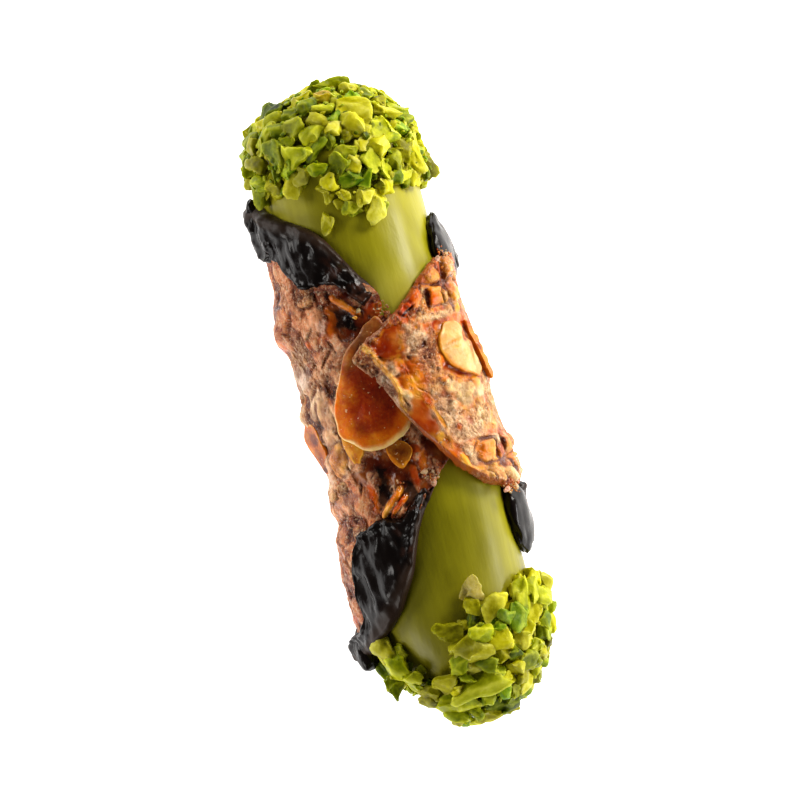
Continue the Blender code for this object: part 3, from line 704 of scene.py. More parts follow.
def crust_look():
    look = Look(
        "crust", Subsurface_Weight=0.1, Subsurface_Scale=0.0012, IOR=1.5, Specular_IOR_Level=0.28,
        Subsurface_Radius=(1.0, 0.35, 0.15),
    )
    paint, gloss = look.attribute("paint", "Color"), look.attribute("gloss", "Fac")
    speck = look.noise(0.75, 6, 0.75)
    streak = look.noise(0.65, 3, 0.65, stretch=(1, 0.36, 1), lean=-30)
    dry = look.between(gloss, 0.5, 0.82, 1.0, 0.06)
    grainy = look.times(dry, look.between(gloss, 0.2, 0.4, 0.45, 1.0))
    # Raised specks are brightened: partly pale crumb, partly painted glints.
    light = look.times(look.between(speck, 0.50, 0.62, 0.0, 0.5), grainy)
    dark = look.times(look.between(speck, 0.36, 0.49, 0.95, 0.0), grainy)
    dark = look.sum(dark, look.times(look.between(streak, 0.33, 0.43, 0.55, 0.0), dry), "MAXIMUM")
    bright = look.gamma(paint, look.sum(1.0, light, "SUBTRACT"))
    mottled = look.blend(dark, bright, look.blend(1.0, look.gamma(paint, 1.7), (0.62, 0.54, 0.50, 1), "MULTIPLY"))
    # Painted highlights: fine pale glints are mixed into the colour where the crust is dry.
    glint = look.between(look.noise(0.5, 3, 0.6, stretch=(1, 0.6, 1), lean=-30), 0.56, 0.66, 0.0, 0.7)
    look.paint(look.blend(look.times(glint, grainy), mottled, PAINTED_GLINT_COLOUR))
    rough = look.between(gloss, 0.1, 0.75, 0.58, 0.15)
    look.rough(look.sum(rough, look.between(speck, 0.3, 0.7, 0.10, -0.10)))
    height = look.sum(look.between(speck, 0, 1, 0, 1.3), look.between(streak, 0.2, 0.5, 0, 0.6))
    look.bump(look.times(height, grainy), 0.5, 0.9)
    return look.material


def cream_look():
    look = Look(
        "cream", Subsurface_Weight=0.2, Subsurface_Scale=0.003, Roughness=0.36, IOR=1.5, Specular_IOR_Level=0.24,
        Subsurface_Radius=(1.0, 0.9, 0.25),
    )
    streak = look.noise(1.3, 3, 0.6, stretch=(1, 0.08, 1))
    look.paint(look.gamma(look.attribute("paint", "Color"), look.between(streak, 0.3, 0.7, 1.06, 0.94)))
    fine = look.noise(0.5, 3, 0.6, stretch=(1, 0.3, 1))
    look.bump(look.sum(streak, look.between(fine, 0, 1, 0, 0.5)), 0.10, 0.5)
    return look.material


def chocolate_look():
    look = Look("dark_chocolate", IOR=1.45, Specular_IOR_Level=0.22)
    look.paint(look.attribute("paint", "Color"))
    cloud = look.noise(3.0, 2, 0.5)
    rough = look.between(look.attribute("gloss", "Fac"), 0, 1, 0.45, 0.2)
    look.rough(look.sum(rough, look.between(cloud, 0.35, 0.7, 0.0, 0.08)))
    look.bump(look.sum(cloud, look.between(look.noise(0.8, 3), 0, 1, 0, 0.25)), 0.22, 0.4)
    return look.material


def nut_look():
    look = Look(
        "pistachio", Subsurface_Weight=0.35, Subsurface_Scale=0.002, IOR=1.45, Specular_IOR_Level=0.12,
        Subsurface_Radius=(0.9, 1.0, 0.1),
    )
    paint = look.attribute("paint", "Color")
    cloud, lumps, grain = look.noise(2.0, 2, 0.5), look.noise(0.9, 2, 0.55), look.noise(0.4, 3, 0.6)
    power = look.sum(look.between(cloud, 0.32, 0.68, 1.24, 0.86), look.between(lumps, 0.35, 0.65, 0.12, -0.10))
    look.paint(look.gamma(paint, power))
    look.rough(look.between(cloud, 0.3, 0.7, 0.35, 0.55))
    broad = look.sum(look.between(cloud, 0, 1, 0, 1.4), look.between(lumps, 0, 1, 0, 0.6))
    look.bump(look.sum(broad, look.between(grain, 0, 1, 0, 0.15)), 0.3, 0.5)
    return look.material


def almond_look():
    look = Look(
        "almond", Subsurface_Weight=0.3, Subsurface_Scale=0.002, IOR=1.5, Specular_IOR_Level=0.28,
        Subsurface_Radius=(1.0, 0.45, 0.12),
    )
    paint = look.attribute("paint", "Color")
    cloud, grain = look.noise(3.0, 4, 0.6), look.noise(0.7, 4, 0.65)
    power = look.sum(look.between(cloud, 0.3, 0.7, 1.3, 0.8), look.between(grain, 0.35, 0.65, 0.12, -0.12))
    # Painted highlights: small pale glints are mixed into the almonds' colour.
    painted_glint = look.between(look.noise(0.8, 1, 0.5), 0.70, 0.78, 0.0, 0.7)
    look.paint(look.blend(painted_glint, look.gamma(paint, power), (0.92, 0.62, 0.34, 1)))
    look.rough(look.between(look.attribute("gloss", "Fac"), 0, 1, 0.6, 0.2))
    look.bump(look.sum(cloud, look.between(grain, 0, 1, 0, 0.6)), 0.25, 0.7)
    return look.material


# ---------------------------------------------------------------- pastry

PASTRY_ROWS, EDGE_ROWS, INNER_ROWS = 196, 6, 8
FLAP_STEPS, UNDER_STEPS, SIDE_STEPS = 160, 90, 172     # round the roll
RAW_EDGE = [(0.20, 0.05, 0.02), (0.44, 0.16, 0.07), (0.66, 0.34, 0.18)]


def rim_wobble(turn, seed):
    """How uneven the sheet's ends are."""
    flat = unrolled(turn, 3.0)
    return 0.45 * rough_noise(flat, 4.5, 3, seed) + 0.15 * wave_noise(flat, 1.1, seed + 3)


def rounding(start, end, count):
    """Steps round an edge: how far out each is, and how high, from 0 to 1."""
    angles = [math.radians(angle) for angle in np.linspace(start, end, count)]
    return [(math.cos(angle), 0.5 + 0.5 * math.sin(angle)) for angle in angles]


def make_pastry(look):
    """The rolled sheet as one closed tube round its own section: outer face, head edge, inner face, foot edge."""
    turn = np.concatenate([
        np.linspace(SHEET_START, 95, FLAP_STEPS)[:-1], np.linspace(95, 268, UNDER_STEPS)[:-1],
        np.linspace(268, SHEET_END, SIDE_STEPS),
    ])
    head = crust_rim(HEAD_RIM, -1, turn) + rim_wobble(turn, 71) * smooth(-18, -8, turn)
    head -= 0.8 * bell(turn, 26, 20.0)
    foot = crust_rim(FOOT_RIM, 1, turn) + rim_wobble(turn, 81) * smooth(-18, -8, turn)
    length = head - foot
    rounded = np.minimum(0.8, 0.15 * length)
    slope = np.minimum(0.5 * (1 - smooth(25, 60, turn)), 0.3 * length)

    low, high = foot + rounded, head - rounded
    columns = [(low + slope + (high - (low + slope)) * v, 1) for v in np.linspace(0, 1, PASTRY_ROWS)]
    columns += [(head - rounded * (1 - out), up) for out, up in rounding(70, -70, EDGE_ROWS)]
    columns += [(low + (high - low) * v, 0) for v in np.linspace(1, 0, INNER_ROWS)]
    columns += [(foot + rounded * (1 - out) + slope * up, up) for out, up in rounding(-70, 70, EDGE_ROWS)]
    along = np.stack([column[0] for column in columns], 1)
    depth = np.broadcast_to([float(column[1]) for column in columns], along.shape)  # 1 outside, 0 inside
    turns = np.broadcast_to(turn[:, None], along.shape)
    outside, colour, gloss = crust_radius(turns, along)
    inside = pastry_inside(turns, along)
    radius = inside + (outside - inside) * depth
    edge = ((depth > 0.02) & (depth < 0.98)).astype(float)
    flat = np.stack([radius.ravel(), np.radians(turns.ravel()) * PATTERN_RADIUS, along.ravel()], -1)
    crumble = rough_noise(flat, 1.2, 3, 91).reshape(along.shape)
    along = along + edge * 0.28 * crumble * np.minimum(1, length / 8)[:, None]
    points = on_roll(above_table(radius + edge * 0.2 * crumble, turns), turns, along)

    # The sheet's raw ends are darkened to the crust's darkest toasted tone: partly their own colour, partly painted
    # shade along the flap's edges. Near the torn corner they show the crumb instead.
    raw = (edge * (1 - dipped(turns, along)) * (turns < 200)).ravel()
    crumb = ramp(RAW_EDGE, 0.45 + 0.5 * crumble.ravel())
    torn = 1 - smooth(2, 16, turns.ravel())
    colour = mix(colour, TOASTED_CRUST[0], 0.85 * raw * (1 - torn))
    colour = mix(colour, crumb, (0.12 + 0.58 * torn) * raw)
    gloss = gloss * (1 - 0.4 * raw * torn)
    points, faces = closed_tube(points)
    colour = np.concatenate([colour, colour[:1], colour[-1:]])
    gloss = np.concatenate([gloss, gloss[:1], gloss[-1:]])
    return make_piece("pastry_sheet", points, faces, look, ["pastry_tube"], colour, gloss)


# ---------------------------------------------------------------- cream

CREAM_ROUND, CREAM_ROWS, TIP_ROWS = 180, 150, 25
FLAT_TIP = 0.02        # where the rings stop short of each tip


def make_cream(look):
    """The filling: faintly striped along its length, with rounded ends under the nuts."""
    turn = np.linspace(0, 360, CREAM_ROUND, endpoint=False)
    share = np.sin(np.linspace(0, math.pi / 2, TIP_ROWS + 1)[:-1])
    head = HEAD_SHOULDER + (HEAD_TIP - FLAT_TIP - HEAD_SHOULDER) * share
    foot = FOOT_SHOULDER + (FOOT_TIP + FLAT_TIP - FOOT_SHOULDER) * share
    along = np.concatenate([head[::-1], np.linspace(HEAD_SHOULDER, FOOT_SHOULDER, CREAM_ROWS)[1:-1], foot])
    turns, alongs = np.meshgrid(turn, along)
    radius = cream_radius(turns, alongs)
    on = on_roll(radius, turns, alongs).reshape(-1, 3)
    stripes = wave_noise(on * (1.0, 0.07, 1.0), 1.1, 101) * 0.015 + wave_noise(on * (1.0, 0.22, 1.0), 3.2, 102) * 0.06
    radius = radius + (stripes + 0.22 * wave_noise(on, 11.0, 103)).reshape(radius.shape) * np.minimum(1, radius / 8)
    points, faces = closed_tube(on_roll(above_table(radius, turns, 0.8), turns, alongs))
    x, y = points[:, 0], points[:, 1]
    cloud = 0.5 + 0.6 * rough_noise(points * (1.0, 0.5, 1.0), 7.0, 3, 105)
    colour = mix((0.25, 0.226, 0.002), (0.34, 0.308, 0.007), cloud)
    # Painted light: the cream's upper half is painted paler in the head's mouth and at the head's left.
    painted_light = np.exp(-(((x - 5) / 5) ** 2) - ((y - 22) / 5) ** 2)
    painted_light = painted_light + 0.4 * np.exp(-(((x + 11) / 4) ** 2) - ((y - 40) / 4) ** 2)
    colour = mix(colour, (0.48, 0.43, 0.045), painted_light * (points[:, 2] > AXIS_HEIGHT))
    # Painted shade: the cream is painted darker towards the foot.
    colour = colour * (1 - 0.2 * smooth(-18, -26, y))[:, None]
    return make_piece("cream_filling", points, faces, look, ["cream"], colour)


# ---------------------------------------------------------------- chocolate

COAT_ROWS, LIP_ROWS, RIM_STEPS, DRIP_STEPS = 26, 12, 380, 14
DARK_CHOCOLATE = (0.0050, 0.0028, 0.0022)


def make_chocolate(name, rim, skirt, inward, seed, look, replaced):
    """The coat on a dipped rim: over the crust from its ragged end to the rim, round the rim and a little inside."""
    turn = np.linspace(RIM_START, RIM_END, RIM_STEPS)
    flat = unrolled(turn, 9.0)
    edge = crust_rim(rim, inward, turn)
    width = spline(skirt, turn) - 1.0
    width = width * (1 + 0.10 * rough_noise(flat, 5.0, 2, seed)) + 0.9 * rough_noise(flat, 2.6, 3, seed + 1)
    width = np.maximum(width, 0.8)
    ends = smooth(84, 92, turn) * (1 - smooth(354, 371, turn))

    columns = []
    for share in np.linspace(1, 0, COAT_ROWS) ** 0.9:
        inland = width * share
        along = edge + inward * inland
        base, _, _ = crust_radius(turn, along)
        from_skirt = width - inland
        q = unrolled(turn, along, 30.0)
        blob = 0.5 + 0.6 * rough_noise(q * (1.0, 0.6, 1.0), 3.4, 2, seed + 2) + 0.10 * rough_noise(q, 1.3, 2, seed + 5)
        coat = -0.45 + (0.85 + 1.0 * blob) * smooth(-0.1, 1.1, from_skirt) * (0.3 + 0.7 * ends)
        coat += 0.35 * bell(from_skirt, 1.3, 0.8) * ends * blob
        coat += hills(turn, along, DRIPS) + 0.45
        coat -= 0.9 * (1 - smooth(0, 2.6, inland)) * smooth(300, 335, turn)
        coat += 0.55 * rough_noise(q, 1.9, 3, seed + 6) * smooth(336, 350, turn) * smooth(0, 1, from_skirt)
        coat = np.where(from_skirt < 0.02, -0.4, coat - 0.35 * (1 - smooth(0, 1.0, from_skirt)))
        columns.append((along, above_table(base + coat, turn)))
    top = columns[-1][1]
    inside = pastry_inside(turn, edge)
    bottom = inside - 0.35 - 1.1 * bell(turn, 92, 20)
    bulge = 1.15 + 0.25 * rough_noise(flat, 3.0, 2, seed + 4)
    reach = bulge * (0.45 + 0.55 * ends)
    for out, up in rounding(75, -90, LIP_ROWS):
        columns.append((edge - inward * reach * out, above_table(bottom + (top - bottom) * up, turn)))
    columns += [(edge + inward * depth, bottom + 0.12 * depth) for depth in (1.0, 2.2, 3.4)]
    columns += [(edge + inward * np.minimum(depth, width), inside + 0.9) for depth in (3.0, 1.6)]
    columns.append((columns[0][0], np.minimum(columns[0][1] - 0.3, inside + 1.2)))

    along, radius = np.stack([c[0] for c in columns], 1), np.stack([c[1] for c in columns], 1)
    turns = np.broadcast_to(turn[:, None], along.shape)
    points, faces = closed_tube(on_roll(radius, turns, along))
    lip = np.zeros(len(columns))        # how far each column belongs to the matt, browner lip
    lip[COAT_ROWS - 4 : COAT_ROWS - 1] = (0.2, 0.5, 0.8)
    lip[COAT_ROWS - 1 : COAT_ROWS + LIP_ROWS + 2] = 1.0
    share = np.concatenate([np.broadcast_to(lip, along.shape).ravel(), [0, 0]])
    stain = smooth(0.1, 0.7, rough_noise(points, 2.2, 3, seed + 7))
    stain = stain * np.concatenate([smooth(334, 348, turns.ravel()), [0, 0]])
    # The lip is painted browner: partly the chocolate's own tone, partly painted sheen.
    colour = mix(mix(DARK_CHOCOLATE, (0.024, 0.0115, 0.006), share), (0.05, 0.016, 0.008), 0.8 * stain)
    return make_piece(name, points, faces, look, replaced, colour, 1 - 0.85 * share)


# ---------------------------------------------------------------- chunks


def cube_ball(steps):
    """Unit directions spread over a ball from a cube's six faces, and the quads between them."""
    index, directions, quads = {}, [], []
    for place in itertools.product(range(steps + 1), repeat=3):
        if {*place} & {0, steps}:
            index[place] = len(directions)
            cube = np.tan((np.array(place) * 2 / steps - 1) * math.pi / 4)
            directions.append(cube / np.linalg.norm(cube))
    for axis, side, i, j in itertools.product(range(3), (0, steps), range(steps), range(steps)):
        places = [(side, i, j), (side, i + 1, j), (side, i + 1, j + 1), (side, i, j + 1)]
        corners = [index[place[3 - axis :] + place[: 3 - axis]] for place in places]
        quads.append(corners if side else corners[::-1])
    return np.array(directions), np.array(quads)


def chopped(rng, directions, cuts, softness):
    """One chopped piece: a rounded block with flats cut at random, and wavy; softness rounds it.

    Also says how far each point is on a cut, and on the edge between two cuts.
    """
    power = rng.uniform(2.0, 3.0)
    points = directions / (np.abs(directions) ** power).sum(1, keepdims=True) ** (1 / power)
    planes = []
    for _ in range(cuts):
        normal = rng.normal(size=3)
        normal /= np.linalg.norm(normal)
        planes.append((normal, rng.uniform(0.34, 0.84)))
    for normal, distance in planes * 2:
        points -= (1 - softness) * np.maximum(points @ normal - distance, 0)[:, None] * normal
    near = np.array([smooth(0.16, 0.02, np.abs(points @ normal - distance)) for normal, distance in planes])
    near.sort(0)
    wavy = points + rng.uniform(0, 50)
    for k in range(3):
        points[:, k] += 0.30 * wave_noise(wavy, 0.85, k) + 0.13 * wave_noise(wavy, 0.38, k + 3)
    points = points / np.abs(points).max(0)
    far = np.linalg.norm(points, axis=1)
    return points, near[-1], np.maximum(near[-2], 0.7 * smooth(0.95, 1.3, far))


def turned(rng, normal, lean, heading=None):
    """A rotation whose third axis leans from the normal by up to so many degrees."""
    side = np.cross(normal, (0.0, 0.0, 1.0) if abs(normal[2]) < 0.9 else (1.0, 0.0, 0.0))
    if heading is not None:
        side = np.array([math.cos(math.radians(heading)), math.sin(math.radians(heading)), 0.0])
        side = side - normal * (side @ normal)
    side /= np.linalg.norm(side)
    frame_axes = np.stack([side, np.cross(normal, side), normal], 1)
    spin = 0.0 if heading is not None else rng.uniform(0, 2 * math.pi)
    tilt, towards = math.radians(lean) * rng.uniform(0, 1), rng.uniform(0, 2 * math.pi)
    c, s = math.cos(spin), math.sin(spin)
    about = np.array([[c, -s, 0], [s, c, 0], [0, 0, 1]])
    axis = np.array([math.cos(towards), math.sin(towards), 0.0])
    k = np.array([[0, -axis[2], axis[1]], [axis[2], 0, -axis[0]], [-axis[1], axis[0], 0]])
    lean_matrix = np.eye(3) + math.sin(tilt) * k + (1 - math.cos(tilt)) * k @ k
    return frame_axes @ lean_matrix @ about


SMALL, MEDIUM, LARGE = 3, 5, 8      # how finely a piece is divided


class Pile:
    """Many separate small closed pieces, gathered into one mesh."""

    def __init__(self, seed, softness=0.34):
        self.rng = np.random.default_rng(seed)
        self.points, self.faces, self.colours, self.glosses, self.count = [], [], [], [], 0
        self.moulds = {}
        for steps, cuts, kinds in ((SMALL, 4, 10), (MEDIUM, 6, 24), (LARGE, 6, 24)):
            directions, quads = cube_ball(steps)
            self.moulds[steps] = [(*chopped(self.rng, directions, cuts, softness), quads) for _ in range(kinds)]

    def drop(self, steps, middle, size, normal, lean, colours, heading=None, gloss=0.5):
        """Add a piece of random shape, its third axis within lean degrees of the normal."""
        shape, cut, edge, quads = self.moulds[steps][self.rng.integers(len(self.moulds[steps]))]
        rotation = turned(self.rng, np.asarray(normal, float), lean, heading)
        placed = (shape * (np.asarray(size) / 2)) @ rotation.T + middle
        placed[:, 2] = np.maximum(placed[:, 2], CLEARANCE)
        self.points.append(placed)
        self.faces.append(quads + self.count)
        skin, flesh, rim = (np.array(c) for c in colours)
        colour = mix(mix(skin, flesh, 0.85 * cut), rim, 0.6 * edge) * self.rng.uniform(0.58, 1.05)
        self.colours.append(colour)
        self.glosses.append(np.full(len(placed), gloss))
        self.count += len(placed)

    def make(self, name, look, replaced=()):
        return make_piece(
            name, np.concatenate(self.points), np.concatenate(self.faces).tolist(), look, replaced,
            np.concatenate(self.colours), np.concatenate(self.glosses), sharp=48,
        )


# Set drips of chocolate: turn, along, radius, length, width, thickness, heading seen from above.
HEAD_DRIPS = [
    (278, 43.6, 18, 7.6, 3.8, 4.2, 84), (296, 37.8, 18.3, 5.2, 3.4, 2.6, 80), (78, 28.8, 16.9, 13, 13, 4.2, 96),
    (97, 26.6, 17.2, 10, 12, 4.2, 90),
]
FOOT_DRIPS = [
    (276, -45.6, 19, 8.6, 4.6, 4.2, 96), (288, -42.6, 18.8, 4.6, 3.4, 2.6, 120), (82, -28, 17.8, 15.5, 12, 4.6, -86),
    (100, -27.6, 18, 12, 13, 4.4, -90),
]


def make_drips(name, drips, seed, look):
    """Smooth lumps of set chocolate, thinner towards one end."""
    rng = np.random.default_rng(seed)
    directions, quads = cube_ball(DRIP_STEPS)
    points, faces = [], []
    for turn, along, radius, length, width, thickness, heading in drips:
        angle = math.radians(turn)
        rotation = turned(rng, np.array((math.sin(angle), 0, math.cos(angle))), 5, heading)
        shape = directions * (1 + 0.16 * rough_noise(directions + rng.uniform(0, 50), 0.8, 3, seed))[:, None]
        shape[:, 1:] *= 1 - 0.3 * directions[:, :1]
        placed = (shape * (length / 2, width / 2, thickness / 2)) @ rotation.T + on_roll(radius, turn, along)
        placed[:, 2] = np.maximum(placed[:, 2], CLEARANCE)
        faces.append(quads + len(directions) * len(points))
        points.append(placed)
    points = np.concatenate(points)
    colour = np.broadcast_to(DARK_CHOCOLATE, points.shape)
    return make_piece(name, points, np.concatenate(faces).tolist(), look, [], colour, np.ones(len(points)))


# ---------------------------------------------------------------- nuts

# Skin, cut-face and edge colours of the chopped pistachios.
TONES = {
    "pale": ((0.54, 0.50, 0.008), (0.66, 0.62, 0.02), (0.80, 0.77, 0.14)),
    "yellow": ((0.50, 0.47, 0.002), (0.60, 0.56, 0.004), (0.82, 0.78, 0.10)),
    "lime": ((0.26, 0.31, 0.001), (0.44, 0.46, 0.002), (0.76, 0.76, 0.06)),
    "green": ((0.13, 0.19, 0.001), (0.29, 0.34, 0.002), (0.62, 0.65, 0.03)),
    "olive": ((0.21, 0.20, 0.001), (0.34, 0.32, 0.001), (0.58, 0.55, 0.02)),
    "vivid": ((0.08, 0.19, 0.001), (0.22, 0.34, 0.002), (0.52, 0.60, 0.03)),
    "dark": ((0.05, 0.085, 0.001), (0.13, 0.18, 0.001), (0.36, 0.42, 0.015)),
    "tan": ((0.44, 0.34, 0.05), (0.58, 0.47, 0.10), (0.72, 0.62, 0.22)),
    "amber": ((0.40, 0.27, 0.002), (0.56, 0.41, 0.003), (0.70, 0.58, 0.04)),
}
COMMON = ["pale", "yellow", "yellow", "lime", "lime", "lime", "green", "green", "green", "olive", "vivid", "dark"]
BOX_SHARE = 1.42        # of a piece's box to its visible outline

# The pieces that the eye picks out: (x, y, length, width, heading of the length, tone).
HEAD_HEROES = [
    (3.5, 64.4, 5.6, 4, 0, "lime"), (1, 62.8, 3.6, 2.6, 20, "amber"), (-5.8, 63.6, 3.6, 2.6, 10, "dark"),
    (-2.2, 63.8, 3.2, 2.2, 0, "yellow"), (-2.2, 61.8, 3.8, 3.2, 60, "green"), (-7.8, 62.4, 4.2, 2.4, 20, "dark"),
    (-11, 61, 3.6, 2.8, 30, "pale"), (7, 63.2, 3.4, 3, -45, "yellow"), (10, 60.8, 4.4, 3, -70, "green"),
    (6.6, 58, 5.4, 5, 80, "yellow"), (-5.3, 58.6, 6, 4, 20, "lime"), (-10.8, 58.6, 5.4, 3, 30, "lime"),
    (-14, 57, 3.8, 3.6, 0, "olive"), (14.8, 57, 4.8, 3.4, -30, "green"), (12, 57, 5.8, 3, -35, "yellow"),
    (11.3, 53.6, 6, 5, 0, "lime"), (2.2, 55.6, 3.8, 2.8, 10, "pale"), (-10.5, 54, 5.8, 4, -60, "green"),
    (-6.2, 53, 5, 4.4, 0, "lime"), (-14.8, 53, 4.4, 3.8, 0, "olive"), (-12.8, 55.2, 3.6, 2.8, 20, "lime"),
    (7, 51.4, 3, 2.6, 0, "pale"), (7.4, 53.8, 4.4, 2.2, -20, "yellow"), (3.2, 51.2, 3.6, 3.4, 0, "lime"),
    (-15.6, 47.4, 5.2, 3.6, 80, "green"), (-12.5, 48.6, 3.4, 3, 60, "olive"), (-9, 47, 4.8, 3.2, 75, "pale"),
    (-6.4, 48.2, 3.4, 2.8, 70, "pale"), (-3, 49.4, 3.4, 2.8, 0, "green"), (4, 48.2, 4.8, 3.4, -20, "pale"),
    (9.8, 49.6, 4.6, 4, -30, "yellow"), (-1.5, 45.8, 3, 2.8, 0, "yellow"), (2.6, 45.6, 4.4, 2.8, 0, "vivid"),
    (5.2, 44, 3.8, 2.8, 20, "vivid"), (8.8, 43, 3.6, 2.8, 80, "pale"), (15.8, 46.6, 5.4, 3.4, 80, "pale"),
    (16.4, 50.6, 4.6, 3, 80, "pale"), (12.7, 43.2, 4.6, 3, 0, "lime"), (15.4, 43.2, 3.8, 3.6, 0, "yellow"),
    (-2.4, 43.2, 2.6, 1.8, 70, "yellow"), (1, 42.6, 2.4, 2, 0, "yellow"), (1.8, 39.8, 3.6, 2.2, -10, "lime"),
    (-4.4, 37.8, 3.4, 2.2, 60, "yellow"), (6.5, 38.6, 5.2, 3.8, 80, "pale"), (4.8, 41.2, 3.2, 2.6, 0, "pale"),
]
FOOT_HEROES = [
    (4.6, -39.4, 4.6, 3.8, 60, "tan"), (4, -42.2, 3.6, 2.8, 80, "yellow"), (7.6, -43.6, 5.6, 3.4, 25, "pale"),
    (-1.4, -46.2, 5.6, 3, -10, "olive"), (3.5, -45, 2.8, 2.2, 30, "dark"), (7, -46.8, 4.2, 2.4, 0, "vivid"),
    (1.8, -49.9, 6.8, 5, 10, "pale"), (7.6, -49.8, 5.8, 5, -20, "yellow"), (12, -46.6, 5, 3.8, 75, "vivid"),
    (13.7, -43, 8.4, 3.4, 68, "lime"), (16.6, -41.2, 4, 3.6, 80, "yellow"), (15.4, -46.3, 5, 3.2, 80, "pale"),
    (17.3, -46, 4.4, 2.8, 85, "lime"), (12.7, -50.8, 5.2, 4.8, -50, "yellow"), (17, -50.2, 4.4, 4, 70, "green"),
    (14.4, -53.2, 3.2, 2.8, 0, "lime"), (1, -53.8, 5.6, 3, 10, "pale"), (6.5, -53.4, 4.4, 3.4, 30, "yellow"),
    (-4.4, -55.4, 5, 3.8, 20, "yellow"), (1.8, -58, 9.8, 4.8, 32, "lime"), (6.9, -57.6, 3.6, 3, 0, "yellow"),
    (11.3, -55.6, 6.2, 3.4, -30, "lime"), (10.4, -59.2, 5, 3.8, 40, "pale"), (4.6, -62.4, 6.4, 4.8, -10, "dark"),
    (8.2, -61.8, 3.8, 3.2, 70, "vivid"), (-3.5, -60.6, 6.8, 4.4, -20, "lime"), (-7.6, -57, 5, 3.4, 10, "olive"),
    (-11, -55, 5.6, 3, 110, "lime"), (-8.8, -58.8, 3.8, 3, 100, "olive"), (-15.4, -46.2, 5.8, 4.8, -10, "pale"),
    (-13.4, -50.6, 5.8, 5.2, 0, "lime"), (-16.2, -50.8, 4.8, 3.2, 80, "green"), (-12.2, -47.4, 3, 2.6, 0, "lime"),
]


def heap_place(edge_knots, tip, turn, share, height):
    """Places over the filling at a height, from the heap's edge at share 0 to the tip at share 1, and normals."""
    turn, share = np.asarray(turn, float) % 360, np.asarray(share, float)
    edge = spline(edge_knots, turn)

    def on_cream(part):
        along = edge + (tip - edge) * np.sin(np.clip(part, 0, 1) * math.pi / 2)
        return along, cream_radius(turn, along)

    (a0, r0), (a1, r1) = on_cream(share - 0.01), on_cream(np.minimum(share + 0.01, 0.999))
    along, radius = on_cream(share)
    length = np.hypot(a1 - a0, r1 - r0)
    outward = math.copysign(1, tip) / length
    normal_radius, normal_along = outward * (a1 - a0), -outward * (r1 - r0)
    points = on_roll(radius + height * normal_radius, turn, along + height * normal_along)
    angle = np.radians(turn)
    normals = np.stack([normal_radius * np.sin(angle), normal_along, normal_radius * np.cos(angle)], -1)
    return points, normals / np.linalg.norm(normals, axis=-1, keepdims=True)


def spread(rng, edge_knots, tip, height, spacing, taken, low, tries):
    """Random places over a heap, evenly dense, none nearer to another or to a taken one than its reach."""
    turn, share = rng.uniform(0, 360, tries), rng.uniform(low, 0.995, tries)
    points, normals = heap_place(edge_knots, tip, turn, share, height)
    ahead, _ = heap_place(edge_knots, tip, turn, np.minimum(share + 0.01, 0.999), height)
    radius = np.hypot(points[:, 0], points[:, 2] - AXIS_HEIGHT)
    area = radius * np.linalg.norm(ahead - points, axis=1)
    keep = rng.uniform(0, 1, tries) < area / np.quantile(area, 0.98)
    points, normals = points[keep], normals[keep]
    chosen, places = [], [p for p, _ in taken]
    reach = [r for _, r in taken]
    for i, point in enumerate(points):
        if places:
            gaps = np.linalg.norm(np.array(places) - point, axis=1)
            if (gaps < np.array(reach)).any():
                continue
        places.append(point)
        reach.append(spacing)
        chosen.append(i)
    return points[chosen], normals[chosen]


def hero_place(x, y, tip, height):
    """The place over the filling that is seen at (x, y) from above, and its normal."""
    share = np.linspace(0, 0.999, 400)
    edge = 30.0 if tip > 0 else -30.0
    knots = [(0, edge), (360, edge)]
    nearest = math.inf
    for turn in np.linspace(-88, 88, 89):
        points, normals = heap_place(knots, tip, np.full_like(share, turn), share, height)
        off = np.hypot(points[:, 0] - x, points[:, 1] - y)
        i = int(off.argmin())
        if off[i] < nearest:
            nearest, level, normal = off[i], points[i, 2], normals[i]
    return np.array((x, y, level)), normal


def thin(point):
    """Whether a place is where the foot's heap is thin."""
    return point[0] < -5 and point[1] < 0 and (point[1] < -55 or point[2] < 17)


